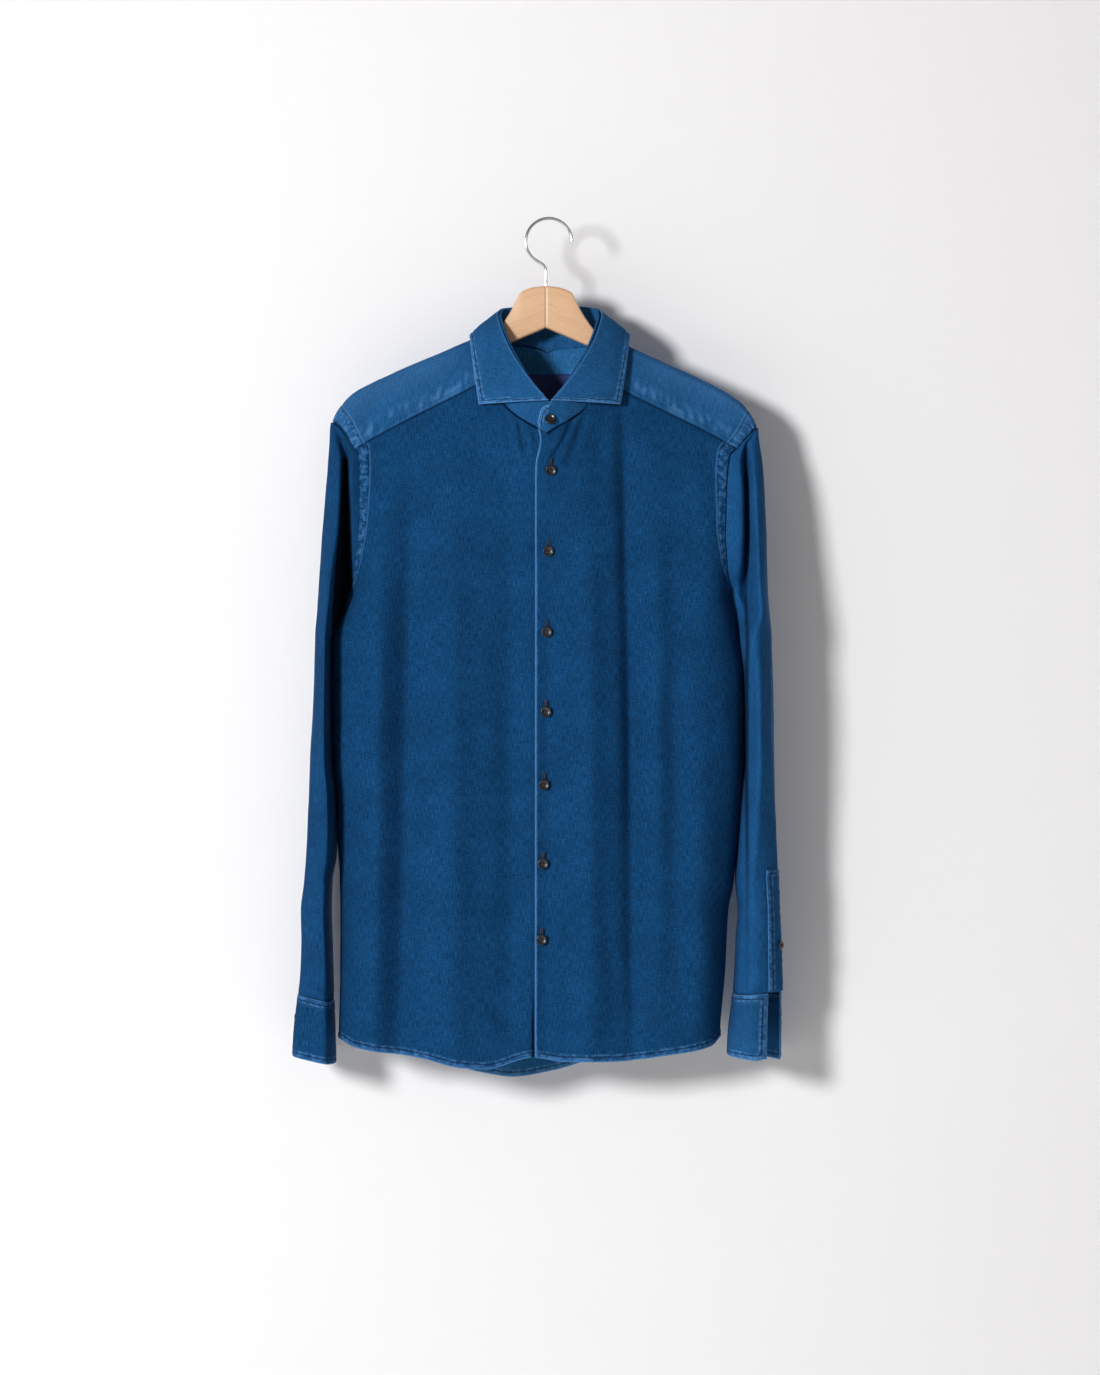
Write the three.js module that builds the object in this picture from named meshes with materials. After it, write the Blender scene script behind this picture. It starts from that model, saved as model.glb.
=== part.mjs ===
// A long-sleeved denim shirt hanging on a two-piece wooden hanger with a wire hook.
// Millimetres, +Z up. The front faces -Y. The origin is the hook's inner crown.
import * as THREE from 'three';

// Cloth thicknesses and the distances kept between pieces
const CLOTH = 1.2;
const DOUBLE_CLOTH = 1.9;
const SEAM_GAP = 0.3;
const SLEEVE_GAP = 0.4;
const SIDE_SEAM_INSET = 0.2;
const LAP_GAP = 0.9;

// Shoulder line, from the left tip to the right one: the height of the cloth over the hanger
const RIDGE_RADIUS = 9.5;
const SHOULDER_LINE = [
  { x: -230, z: -226 },
  { x: -224, z: -212 },
  { x: -219.5, z: -202 },
  { x: -206, z: -185 },
  { x: -193, z: -176.5 },
  { x: -159, z: -160 },
  { x: -99, z: -134.5 },
  { x: -63, z: -119 },
  { x: 0, z: -94 },
  { x: 63, z: -121 },
  { x: 91, z: -134.5 },
  { x: 127, z: -151 },
  { x: 181, z: -176.5 },
  { x: 206, z: -193 },
  { x: 217, z: -208.5 },
  { x: 221, z: -218 },
  { x: 228, z: -236 },
];

// Depth of the front and back cloth from the middle plane, by the drop below the shoulder line
const DRAPE_DEPTH = [
  { drop: 9.5, front: 9.5, back: 9.5 },
  { drop: 60, front: 20, back: 22 },
  { drop: 120, front: 32, back: 34 },
  { drop: 200, front: 42, back: 44 },
  { drop: 300, front: 46, back: 48 },
  { drop: 450, front: 48, back: 51 },
  { drop: 800, front: 50, back: 55 },
];

// Side edges of the body at each height, and how far in the cloth starts to round to the side
const BODY_SECTIONS = [
  { z: -180, left: 230, right: 228, round: 30 },
  { z: -241, left: 224, right: 221, round: 38 },
  { z: -290, left: 217, right: 210, round: 40 },
  { z: -335, left: 210.5, right: 203, round: 38 },
  { z: -364, left: 205.5, right: 197, round: 36 },
  { z: -390, left: 202.5, right: 193, round: 34 },
  { z: -412, left: 212, right: 197.5, round: 38 },
  { z: -440, left: 224.5, right: 202, round: 48 },
  { z: -475, left: 225, right: 206.5, round: 58 },
  { z: -567, left: 223.5, right: 208, round: 62 },
  { z: -600, left: 220, right: 205, round: 62 },
  { z: -645, left: 218.5, right: 201.5, round: 62 },
  { z: -693, left: 216.5, right: 197.5, round: 62 },
  { z: -725, left: 216, right: 191.5, round: 60 },
  { z: -790, left: 216, right: 188, round: 58 },
  { z: -850, left: 217.5, right: 183, round: 56 },
  { z: -910, left: 218, right: 182, round: 56 },
];

// Armhole seam: its distance from the centre line at each height, tip first
const ARMHOLE = {
  left: [
    { z: -213, x: 223.6 },
    { z: -218, x: 215.5 },
    { z: -236.5, x: 203.5 },
    { z: -250, x: 196.5 },
    { z: -290, x: 195 },
    { z: -332, x: 196 },
    { z: -362, x: 199 },
    { z: -390, x: 202.5 },
  ],
  right: [
    { z: -218.5, x: 220.8 },
    { z: -226, x: 213.5 },
    { z: -238, x: 203 },
    { z: -252, x: 192 },
    { z: -290, x: 188.5 },
    { z: -335, x: 187.5 },
    { z: -366, x: 189.5 },
    { z: -390, x: 193 },
  ],
};
const YOKE_CORNER_Z = -242;
const ARMPIT_Z = -390;

// Extra depth where the collar holds the cloth out around the neck
const NECK_SWELL = {
  front: { depth: 18, z: -228, halfWidth: 58, halfHeight: 64 },
  back: { depth: 15, z: -140, halfWidth: 52, halfHeight: 42 },
};

// Long folds of the fronts and back: troughs are positive, ridges negative.
// Each runs from its top height to its low one through three places across.
const FOLDS = {
  front: [
    { top: -140, middle: -143, low: -154, from: -300, to: -930, width: 19, depth: 9 },
    { top: -96, middle: -96, low: -100, from: -330, to: -960, width: 24, depth: -5 },
    { top: -178, middle: -182, low: -186, from: -420, to: -960, width: 15, depth: -4 },
    { top: -34, middle: -34, low: -40, from: -290, to: -960, width: 20, depth: 5 },
    { top: 3, middle: 3, low: -2, from: -300, to: -960, width: 14, depth: 1.5 },
    { top: 40, middle: 48, low: 46, from: -280, to: -960, width: 21, depth: -5 },
    { top: 84, middle: 90, low: 89, from: -185, to: -900, width: 14, depth: 8 },
    { top: 112, middle: 116, low: 120, from: -300, to: -700, width: 15, depth: -3 },
    { top: 133, middle: 136, low: 138, from: -430, to: -860, width: 13, depth: 3.5 },
    { top: 160, middle: 166, low: 170, from: -560, to: -960, width: 19, depth: -4 },
  ],
  back: [
    { top: -150, middle: -146, low: -138, from: -290, to: -960, width: 20, depth: 9 },
    { top: -98, middle: -92, low: -86, from: -300, to: -960, width: 24, depth: -6 },
    { top: -46, middle: -48, low: -52, from: -260, to: -900, width: 15, depth: 8 },
    { top: 6, middle: 2, low: -4, from: -330, to: -960, width: 26, depth: -6 },
    { top: 58, middle: 60, low: 54, from: -250, to: -960, width: 16, depth: 8 },
    { top: 104, middle: 106, low: 110, from: -320, to: -930, width: 22, depth: -5 },
    { top: 146, middle: 148, low: 150, from: -300, to: -880, width: 18, depth: 8 },
  ],
};
const FOLD_EASE = 0.22;

// Hems: the height of the front and back hem across the body
const HEM = {
  front: [
    { x: -230, z: -852 },
    { x: -216, z: -858 },
    { x: -198, z: -866 },
    { x: -131, z: -876 },
    { x: -89, z: -886 },
    { x: -62, z: -888 },
    { x: -14, z: -876 },
    { x: 20, z: -880 },
    { x: 67, z: -880 },
    { x: 130, z: -873 },
    { x: 172, z: -865 },
    { x: 183, z: -856 },
    { x: 200, z: -850 },
  ],
  back: [
    { x: -230, z: -852 },
    { x: -216, z: -858 },
    { x: -198, z: -872 },
    { x: -120, z: -896 },
    { x: -30, z: -908 },
    { x: 60, z: -900 },
    { x: 130, z: -886 },
    { x: 172, z: -868 },
    { x: 183, z: -856 },
    { x: 200, z: -850 },
  ],
};

// Front closing: the over edge, the under lap's edge and the step back beneath it
const OVER_EDGE_X = -11.5;
const UNDER_EDGE_X = 19;
const LAP_STEP = CLOTH + LAP_GAP;
const LAP_EASE = 16;
const LAP_START_X = OVER_EDGE_X - 4;

// Neck ring, collar fold and collar edge, from the front centre (turn 0) to the back one (turn 1).
// A negative drop lies on the front of the shoulder line, a positive one on its back.
const COLLAR_CENTRE_X = 4;
const COLLAR = [
  { turn: 0, neckX: 0, neckDrop: -134, foldX: 0, foldY: -53, foldZ: -194, edgeX: 74, edgeY: -35, edgeZ: -197 },
  { turn: 0.15, neckX: 24, neckDrop: -113, foldX: 17, foldY: -49, foldZ: -173, edgeX: 77, edgeY: -30, edgeZ: -178 },
  { turn: 0.3, neckX: 46, neckDrop: -82, foldX: 35, foldY: -38, foldZ: -145, edgeX: 80.5, edgeY: -22, edgeZ: -155 },
  { turn: 0.4, neckX: 56.5, neckDrop: -50, foldX: 46, foldY: -24, foldZ: -121, edgeX: 83, edgeY: -15, edgeZ: -134 },
  { turn: 0.5, neckX: 63.5, neckDrop: 0, foldX: 52, foldY: -4, foldZ: -99, edgeX: 84.5, edgeY: -1, edgeZ: -121.5 },
  { turn: 0.62, neckX: 58, neckDrop: 9, foldX: 49, foldY: 15, foldZ: -92, edgeX: 79, edgeY: 21, edgeZ: -124 },
  { turn: 0.8, neckX: 36, neckDrop: 25, foldX: 31, foldY: 30, foldZ: -89, edgeX: 48, edgeY: 42, edgeZ: -133 },
  { turn: 1, neckX: 0, neckDrop: 43, foldX: 0, foldY: 36, foldZ: -88, edgeX: 0, edgeY: 48, edgeZ: -137 },
];
const STAND_OVER_END_X = -10;
const STAND_UNDER_END_X = 15;
const STAND_LIFT = 0.8;
const LEAF_CLEARANCE = 2.6;

// Sleeves above the armpit: each row goes from the armhole seam out over the roll,
// into the deep valley, and out again over the front ridge to the outer edge.
const SLEEVE_CAPS = {
  left: [
    { z: -214, roll: 224, rollY: 6, valley: 224.6, valleyY: 5.4, ridge: 225.3, ridgeY: 4.4, outer: 226 },
    { z: -221, roll: 215.5, rollY: 12, valley: 219, valleyY: 10, ridge: 223, ridgeY: 9.5, outer: 227 },
    { z: -232, roll: 209.5, rollY: 16, valley: 213.5, valleyY: 11, ridge: 220, ridgeY: 16, outer: 227.5 },
    { z: -250, roll: 203, rollY: 22.5, valley: 211, valleyY: 9, ridge: 219.5, ridgeY: 25, outer: 228.6 },
    { z: -285, roll: 203.5, rollY: 29, valley: 210, valleyY: 6, ridge: 221, ridgeY: 35, outer: 231 },
    { z: -325, roll: 202, rollY: 29, valley: 209.5, valleyY: 4.5, ridge: 223.5, ridgeY: 44, outer: 234 },
    { z: -360, roll: 203, rollY: 19, valley: 211, valleyY: 3.6, ridge: 226, ridgeY: 52, outer: 237 },
    { z: -390, roll: 206, rollY: 3.4, valley: 213, valleyY: 3.4, ridge: 228.5, ridgeY: 58, outer: 239.5 },
    { z: -412, roll: 217.5, rollY: 10, valley: 219.5, valleyY: 24, ridge: 231, ridgeY: 62, outer: 241.5 },
  ],
  right: [
    { z: -219, roll: 221.2, rollY: 5.4, valley: 221.6, valleyY: 5, ridge: 222.2, ridgeY: 4.2, outer: 222.9 },
    { z: -227, roll: 214.8, rollY: 10.5, valley: 217.2, valleyY: 9.4, ridge: 220, ridgeY: 9.5, outer: 223.2 },
    { z: -238, roll: 207, rollY: 16, valley: 210.8, valleyY: 12, ridge: 216, ridgeY: 16, outer: 224.5 },
    { z: -255, roll: 202.5, rollY: 23, valley: 209, valleyY: 11, ridge: 217, ridgeY: 26, outer: 227 },
    { z: -285, roll: 204.5, rollY: 29, valley: 209.6, valleyY: 8, ridge: 218.5, ridgeY: 36, outer: 229 },
    { z: -325, roll: 205, rollY: 31, valley: 210, valleyY: 6, ridge: 220, ridgeY: 45, outer: 231 },
    { z: -360, roll: 204, rollY: 25, valley: 210, valleyY: 4.6, ridge: 221.5, ridgeY: 52, outer: 232.5 },
    { z: -390, roll: 201, rollY: 11, valley: 209.5, valleyY: 4.2, ridge: 222.5, ridgeY: 58, outer: 234 },
    { z: -412, roll: 205, rollY: 18, valley: 211, valleyY: 22, ridge: 224, ridgeY: 62, outer: 236 },
  ],
};

// Sleeves below the armpit: inner and outer edge from the centre line, and half the depth
const SLEEVE_TUBES = {
  left: [
    { z: -440, inner: 225.4, outer: 244, half: 66 },
    { z: -504, inner: 225.6, outer: 246, half: 67 },
    { z: -567, inner: 224.4, outer: 250, half: 65 },
    { z: -600, inner: 221.1, outer: 251, half: 63.5 },
    { z: -645, inner: 219.6, outer: 252.4, half: 61.5 },
    { z: -668, inner: 220.5, outer: 253, half: 60.5 },
    { z: -693, inner: 224.5, outer: 254, half: 59 },
    { z: -724, inner: 225.5, outer: 257, half: 57 },
    { z: -756, inner: 224.5, outer: 256, half: 54 },
    { z: -788, inner: 223.5, outer: 257.5, half: 50 },
    { z: -830, inner: 223, outer: 263, half: 47.5 },
  ],
  right: [
    { z: -440, inner: 203.1, outer: 238.5, half: 66 },
    { z: -475, inner: 207.4, outer: 239.7, half: 66.6 },
    { z: -504, inner: 208.4, outer: 240.5, half: 67 },
    { z: -567, inner: 209, outer: 241.5, half: 65 },
    { z: -600, inner: 206.2, outer: 242, half: 63.5 },
    { z: -645, inner: 202.7, outer: 243, half: 61.5 },
    { z: -693, inner: 198.8, outer: 244.7, half: 59 },
    { z: -724, inner: 201.6, outer: 245, half: 57 },
    { z: -756, inner: 199.5, outer: 246, half: 54 },
    { z: -788, inner: 198, outer: 247, half: 50 },
    { z: -830, inner: 196, outer: 248, half: 48 },
  ],
};
const BELOW_ARMPIT = { z: -412, left: 213, right: 198.6 };
const SLEEVE_SEAM_OFFSET = 0.24;
const TIP_GAP = 1.2;
const SLEEVE_CENTRE_Y = 8;
const SLEEVE_CENTRE_DROP = 260;
const UNDERARM_DROP = 60;
const SLEEVE_SHARE = { rollX: 0.02, rollY: 0.36, valleyX: 0.12, valleyY: 0.76, ridgeX: 0.5 };
const OUTER_FOLD = { x: 0.84, y: 0.62 };
const SLEEVE_FLUTES = [
  { around: 4.4, from: -330, to: -760, width: 0.7, depth: 3.2 },
  { around: 6.1, from: -420, to: -815, width: 0.6, depth: 3.4 },
  { around: 2.2, from: -430, to: -700, width: 0.6, depth: 2.4 },
  { around: 7.9, from: -450, to: -780, width: 0.6, depth: 2.6 },
];

// Cuffs: their top and bottom edges are planes tilted along X, given at the inner and outer side
const CUFFS = {
  left: {
    topInner: -820,
    topOuter: -811,
    lowInner: -885,
    lowOuter: -877,
    innerX: 221,
    outerX: 266,
    half: 50,
    openFrom: 5.1,
    openTo: 5.5,
    spread: 3,
  },
  right: {
    topInner: -812,
    topOuter: -809,
    lowInner: -876,
    lowOuter: -884,
    innerX: 190.5,
    outerX: 247.5,
    half: 50,
    openFrom: 3.55,
    openTo: 5.0,
    spread: 6,
  },
};
const CUFF_GAP = 0.6;
const WRIST_Z = -811;
const CUFF_PROUD = 0.3;

// Sleeve plackets lie on the outer face of the sleeves, just above the cuffs
const PLACKET_LIFT = 0.6;
const PLACKETS = {
  left: { from: 5.55, middle: 6, to: 6.45 },
  right: { from: 3.55, middle: 4, to: 4.45 },
};

// Buttons: four-hole, with a raised rim
const BUTTON = { radius: 5.6, thickness: 2.6, dish: 0.8, rim: 1.3 };
const BUTTON_LIFT = { stand: 1.2, front: 0.5, sleeve: 0.4, cuff: 0.95 };
const CUFF_BUTTON = { left: 6, right: 6.05, down: 0.42 };
const CUFF_BUTTON_PROUD = { left: 0.45, right: 0.6 };
const NUDGE = 0.05;
const SMALL_BUTTON_SCALE = 0.82;
const FRONT_BUTTONS = [
  { x: 5, z: -265 },
  { x: 2.5, z: -349 },
  { x: 1, z: -433 },
  { x: 0, z: -516 },
  { x: -2, z: -592 },
  { x: -3, z: -674 },
  { x: -4.5, z: -753 },
];
const STAND_BUTTON = { x: 4.5, z: -212 };

// Bare neck label, inside the back of the yoke
const LABEL = { x: 4, top: -160, width: 58, height: 36, thickness: 0.8 };

// Hanger: half-outline of one arm by distance from the centre, and the wire hook
const ARM_HALF_THICKNESS = 6;
const ARM_EDGE_RADIUS = 5;
const ARM_GLUE_GAP = 0.15;
const ARM_CLEARANCE = 0.9;
const ARM_LENGTH = 210;
const ARM_TIP = { length: 14, height: 0.38, droop: 3, thickness: 0.75 };
const ARM_STATIONS = [
  { x: 0, top: -69.3, low: -113.5 },
  { x: 12, top: -70.6, low: -118.7 },
  { x: 22, top: -73.6, low: -123 },
  { x: 27.5, top: -77, low: -125.4 },
  { x: 31, top: -84, low: -127 },
  { x: 36.5, top: -95, low: -129.4 },
  { x: 44, top: -106.5, low: -132.7 },
  { x: 50, top: -114.5, low: -135.4 },
  { x: 57, top: -122.5, low: -139 },
];
const ARM_UNDER_SLOPE = 0.44;
const ARM_INNER_STATIONS = [66, 90, 120, 150, 178, 192, 199, 204, 208];
const HOOK_WIRE_RADIUS = 1.6;
const HOOK_CENTRE_X = 3;
const HOOK_RADIUS = 24.2;
const HOOK_PATH = {
  stemShare: 0.16,
  leanShare: 0.36,
  stemTopZ: -54,
  bendZ: -45,
  lead: 9,
  startAngle: Math.PI * 1.22,
  endAngle: -0.02,
};

const MATERIALS = {
  denim: { color: 0x17416b, roughness: 0.92, metalness: 0 },
  collarDenim: { color: 0x275585, roughness: 0.9, metalness: 0 },
  label: { color: 0x151a3c, roughness: 0.7, metalness: 0 },
  horn: { color: 0x1d1c21, roughness: 0.25, metalness: 0 },
  beech: { color: 0xe1b68f, roughness: 0.5, metalness: 0 },
  chrome: { color: 0xc9ccd0, roughness: 0.12, metalness: 1 },
};

// Numbers and tables

const lerp = (from, to, share) => from + (to - from) * share;
const clamp = (value, low, high) => Math.min(high, Math.max(low, value));
const smooth = share => {
  const t = clamp(share, 0, 1);
  return t * t * (3 - 2 * t);
};

// A smooth function through one column of a table, which never overshoots its rows
function column(rows, key, name) {
  const sorted = [...rows].sort((a, b) => a[key] - b[key]);
  const at = sorted.map(row => row[key]);
  const value = sorted.map(row => row[name]);
  const slope = at.slice(1).map((end, i) => (value[i + 1] - value[i]) / (end - at[i]));
  const tangent = at.map((_, i) => {
    if (i === 0) return slope[0];
    if (i === at.length - 1) return slope[i - 1];
    if (slope[i - 1] * slope[i] <= 0) return 0;
    return (2 * slope[i - 1] * slope[i]) / (slope[i - 1] + slope[i]);
  });
  return where => {
    const place = clamp(where, at[0], at[at.length - 1]);
    let i = 0;
    while (i < at.length - 2 && place > at[i + 1]) i += 1;
    const step = at[i + 1] - at[i];
    const t = (place - at[i]) / step;
    const near = value[i] * (1 + 2 * t) * (1 - t) ** 2 + value[i + 1] * t * t * (3 - 2 * t);
    return near + step * (tangent[i] * t * (1 - t) ** 2 - tangent[i + 1] * t * t * (1 - t));
  };
}

const ridgeZ = column(SHOULDER_LINE, 'x', 'z');
const drapeDepth = {
  front: column(DRAPE_DEPTH, 'drop', 'front'),
  back: column(DRAPE_DEPTH, 'drop', 'back'),
};
const bodyEdge = {
  left: column(BODY_SECTIONS, 'z', 'left'),
  right: column(BODY_SECTIONS, 'z', 'right'),
};
const bodyRound = column(BODY_SECTIONS, 'z', 'round');
const armholeX = {
  left: column(ARMHOLE.left, 'z', 'x'),
  right: column(ARMHOLE.right, 'z', 'x'),
};
const hemZ = {
  front: column(HEM.front, 'x', 'z'),
  back: column(HEM.back, 'x', 'z'),
};
const SIGN = { left: -1, right: 1 };
const FACING = { front: -1, back: 1 };
const sideOf = x => (x < 0 ? 'left' : 'right');

// The draped body: a front and a back face that meet over the shoulders and at the sides

function faceDepth(face, x, z) {
  const drop = Math.max(0, ridgeZ(x) - z);
  const swell = NECK_SWELL[face];
  const round = Math.sqrt(Math.max(0, 2 * RIDGE_RADIUS * drop - drop * drop));
  const depth = drop < RIDGE_RADIUS ? round : drapeDepth[face](drop);
  const away = (x / swell.halfWidth) ** 2 + ((z - swell.z) / swell.halfHeight) ** 2;
  return depth + swell.depth * Math.exp(-away) * smooth(drop / 30);
}

function foldDepth(face, x, z) {
  let total = 0;
  for (const fold of FOLDS[face]) {
    const along = (fold.from - z) / (fold.from - fold.to);
    if (along <= 0 || along >= 1) continue;
    const centre = along < 0.5
      ? lerp(fold.top, fold.middle, smooth(along * 2))
      : lerp(fold.middle, fold.low, smooth(along * 2 - 1));
    const ends = smooth(along / FOLD_EASE) * smooth((1 - along) / FOLD_EASE);
    total += fold.depth * ends * Math.exp(-(((x - centre) / fold.width) ** 2));
  }
  return total;
}

// Where the side rounding starts at a height, and the arc length it takes
function rounding(face, side, z) {
  const width = bodyRound(z);
  const start = bodyEdge[side](z) - width;
  const depth = faceDepth(face, SIGN[side] * start, z);
  const length = (Math.PI / 2) * Math.sqrt((width * width + depth * depth) / 2);
  return { start, width, length };
}

// Distance over the cloth from the centre line for a place across, and at the side seam
function unrolled(face, x, z) {
  const { start, width, length } = rounding(face, sideOf(x), z);
  const out = Math.abs(x);
  if (out <= start) return x;
  const turn = Math.asin(clamp((out - start) / width, 0, 1)) / (Math.PI / 2);
  return Math.sign(x) * (start + length * turn);
}

function sideSeam(face, side, z) {
  const { start, length } = rounding(face, side, z);
  return SIGN[side] * (start + length);
}

// A point of the body's cloth, by the distance over the cloth and the height
function bodyPoint(face, over, z) {
  const side = sideOf(over);
  const { start, width, length } = rounding(face, side, z);
  const out = Math.abs(over);
  const turn = (Math.PI / 2) * clamp((out - start) / length, 0, 1);
  const x = SIGN[side] * (out <= start ? out : start + width * Math.sin(turn));
  const depth = (faceDepth(face, x, z) - foldDepth(face, x, z) * Math.cos(turn)) * Math.cos(turn);
  return new THREE.Vector3(x, FACING[face] * depth, z);
}

// The outward direction of a surface given by a function of two numbers
function outward(surface, a, b, step, facing) {
  const alongA = surface(a + step, b).sub(surface(a - step, b));
  const alongB = surface(a, b + step).sub(surface(a, b - step));
  return alongA.cross(alongB).normalize().multiplyScalar(facing);
}

function bodyVertex(face, over, z, inwards = 0) {
  const surface = (a, b) => bodyPoint(face, a, b);
  const point = bodyPoint(face, over, z);
  const normal = outward(surface, over, z, 0.4, face === 'front' ? 1 : -1);
  return { point: point.addScaledVector(normal, -inwards), normal };
}

// A place on the shoulders by distance across and the drop below the ridge:
// negative in front, positive behind
function shoulderVertex(x, drop) {
  const face = drop < 0 ? 'front' : 'back';
  const z = ridgeZ(x) - Math.abs(drop);
  if (Math.abs(drop) >= RIDGE_RADIUS) return bodyVertex(face, unrolled(face, x, z), z);
  const over = Math.acos(1 - Math.abs(drop) / RIDGE_RADIUS) * Math.sign(drop);
  const point = new THREE.Vector3(x, RIDGE_RADIUS * Math.sin(over), z);
  const slope = (ridgeZ(x + 0.5) - ridgeZ(x - 0.5));
  const normal = new THREE.Vector3(-slope * Math.cos(over), Math.sin(over), Math.cos(over)).normalize();
  return { point, normal };
}

// Cloth walls

// Turns rows of vertices (point on the outer face, outward direction) into a closed wall.
// From row `closedFrom` on, the last column is the same as the first.
function clothWall(rows, thickness, closedFrom = Infinity) {
  const columns = rows[0].length;
  const outerIndex = rows.map(() => []);
  const positions = [];
  rows.forEach((row, r) => {
    row.forEach((vertex, c) => {
      if (c === columns - 1 && r >= closedFrom) {
        outerIndex[r].push(outerIndex[r][0]);
        return;
      }
      outerIndex[r].push(positions.length / 6);
      const inner = vertex.point.clone().addScaledVector(vertex.normal, -thickness);
      positions.push(...vertex.point.toArray(), ...inner.toArray());
    });
  });
  const outerFaces = [];
  for (let r = 0; r < rows.length - 1; r += 1) {
    for (let c = 0; c < columns - 1; c += 1) {
      const a = outerIndex[r][c];
      const b = outerIndex[r][c + 1];
      const d = outerIndex[r + 1][c];
      const e = outerIndex[r + 1][c + 1];
      if ((r + c) % 2) outerFaces.push([a, d, b], [b, d, e]);
      else outerFaces.push([a, d, e], [a, e, b]);
    }
  }
  const index = [];
  const edges = new Map();
  for (const [a, b, c] of outerFaces) {
    index.push(2 * a, 2 * b, 2 * c, 2 * a + 1, 2 * c + 1, 2 * b + 1);
    for (const [from, to] of [[a, b], [b, c], [c, a]]) {
      if (!edges.delete(`${to},${from}`)) edges.set(`${from},${to}`, [from, to]);
    }
  }
  for (const [from, to] of edges.values()) {
    index.push(2 * from, 2 * from + 1, 2 * to, 2 * to, 2 * from + 1, 2 * to + 1);
  }
  const geometry = new THREE.BufferGeometry();
  geometry.setAttribute('position', new THREE.Float32BufferAttribute(positions, 3));
  geometry.setIndex(index);
  return faceOutwards(geometry);
}

// Turns all faces over when the geometry holds a negative volume
function faceOutwards(geometry) {
  const position = geometry.getAttribute('position');
  const index = geometry.getIndex().array;
  const corner = [new THREE.Vector3(), new THREE.Vector3(), new THREE.Vector3()];
  let volume = 0;
  for (let i = 0; i < index.length; i += 3) {
    corner.forEach((vector, k) => vector.fromBufferAttribute(position, index[i + k]));
    volume += corner[0].dot(corner[1].clone().cross(corner[2])) / 6;
  }
  if (volume < 0) {
    for (let i = 0; i < index.length; i += 3) {
      [index[i + 1], index[i + 2]] = [index[i + 2], index[i + 1]];
    }
  }
  geometry.computeVertexNormals();
  return geometry;
}

const shirt = new THREE.Group();

function addPiece(name, geometry, materialName) {
  const finish = MATERIALS[materialName];
  const material = new THREE.MeshStandardMaterial({ ...finish, side: THREE.FrontSide });
  const mesh = new THREE.Mesh(geometry, material);
  mesh.name = name;
  shirt.add(mesh);
  return mesh;
}

// Shared seam stations, so that neighbours have their corners at the same places

const SEAM_STATIONS = [0, 0.08, 0.18, 0.28, 0.38, 0.48, 0.58, 0.68, 0.78, 0.87, 0.94, 1];
const CAP_DROPS = [1, 4, 9.5, 20, 34, 48];
const ARMHOLE_ROWS = [-256, -272, -290, -312, -334, -354, -373];
const SIDE_ROWS = [-401, -415, -432, -455, -485, -520, -560, -600, -640, -680, -720, -760, -800, -835];

const neckXByTurn = column(COLLAR, 'turn', 'neckX');
const neckDropByTurn = column(COLLAR, 'turn', 'neckDrop');
const NECK_CORNER_TURN = 0.4;
const YOKE_ARMHOLE_X = 190;
const HEM_LEVEL_Z = -850;

const neckPlace = (side, turn) => ({
  x: SIGN[side] * neckXByTurn(turn),
  drop: neckDropByTurn(turn),
});

// Armhole seam by the drop below the shoulder line
function armholePlace(side, drop) {
  let high = ARMHOLE[side][0].z;
  let low = ARMPIT_Z;
  for (let i = 0; i < 40; i += 1) {
    const middle = (high + low) / 2;
    const x = SIGN[side] * armholeX[side](middle);
    if (ridgeZ(x) - middle < drop) high = middle;
    else low = middle;
  }
  const z = (high + low) / 2;
  return { x: SIGN[side] * armholeX[side](z), z };
}

function yokeCorner(side) {
  const x = SIGN[side] * armholeX[side](YOKE_CORNER_Z);
  return { x, drop: ridgeZ(x) - YOKE_CORNER_Z, z: YOKE_CORNER_Z };
}

// A place on the front yoke seam, from the neck (0) to the armhole (1)
function frontSeamPlace(side, share) {
  const neck = neckPlace(side, NECK_CORNER_TURN);
  const corner = yokeCorner(side);
  const x = lerp(neck.x, corner.x, share);
  return { x, drop: lerp(-neck.drop, corner.drop, share) };
}

// Places round the neck that the fronts, the yoke, the band and the leaf all share.
// Each has its turn round the collar, its distance across and its drop from the shoulder line.
const FRONT_NECK_TURNS = [0, 0.05, 0.1, 0.16, 0.23, 0.31];
const BACK_NECK_TURN = 0.62;

function frontNeckStations(side) {
  return FRONT_NECK_TURNS.map(turn => ({ turn, ...neckPlace(side, turn) }));
}

// Stations where the neck runs over the shoulder, front corner to back corner,
// each with its place on the armhole
function shoulderStations(side) {
  const corner = yokeCorner(side);
  const front = neckPlace(side, NECK_CORNER_TURN);
  const top = neckPlace(side, 0.5);
  const back = neckPlace(side, BACK_NECK_TURN);
  const station = (drop, facing) => {
    const share = drop / corner.drop;
    const end = facing < 0 ? front : back;
    const place = drop === corner.drop ? corner : armholePlace(side, drop);
    const endTurn = facing < 0 ? NECK_CORNER_TURN : BACK_NECK_TURN;
    const x = lerp(top.x, end.x, facing < 0 ? share ** 1.3 : share);
    const out = { x: place.x, drop: facing * drop };
    return { turn: lerp(0.5, endTurn, share), x, drop: lerp(0, end.drop, share), out };
  };
  const drops = [0, ...CAP_DROPS, corner.drop];
  const over = [...drops].reverse().map(drop => station(drop, -1));
  return [...over, ...drops.slice(1).map(drop => station(drop, 1))];
}

function backNeckStations(side) {
  const corner = yokeCorner(side);
  return BACK_SHARES.slice(1).map((share, i) => {
    const turn = lerp(BACK_NECK_TURN, 1, (i + 1) / BACK_SHARES.length);
    const x = corner.x * share;
    return { turn, ...neckPlace(side, turn), out: { x, drop: ridgeZ(x) - YOKE_CORNER_Z } };
  });
}

// Fronts

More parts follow.
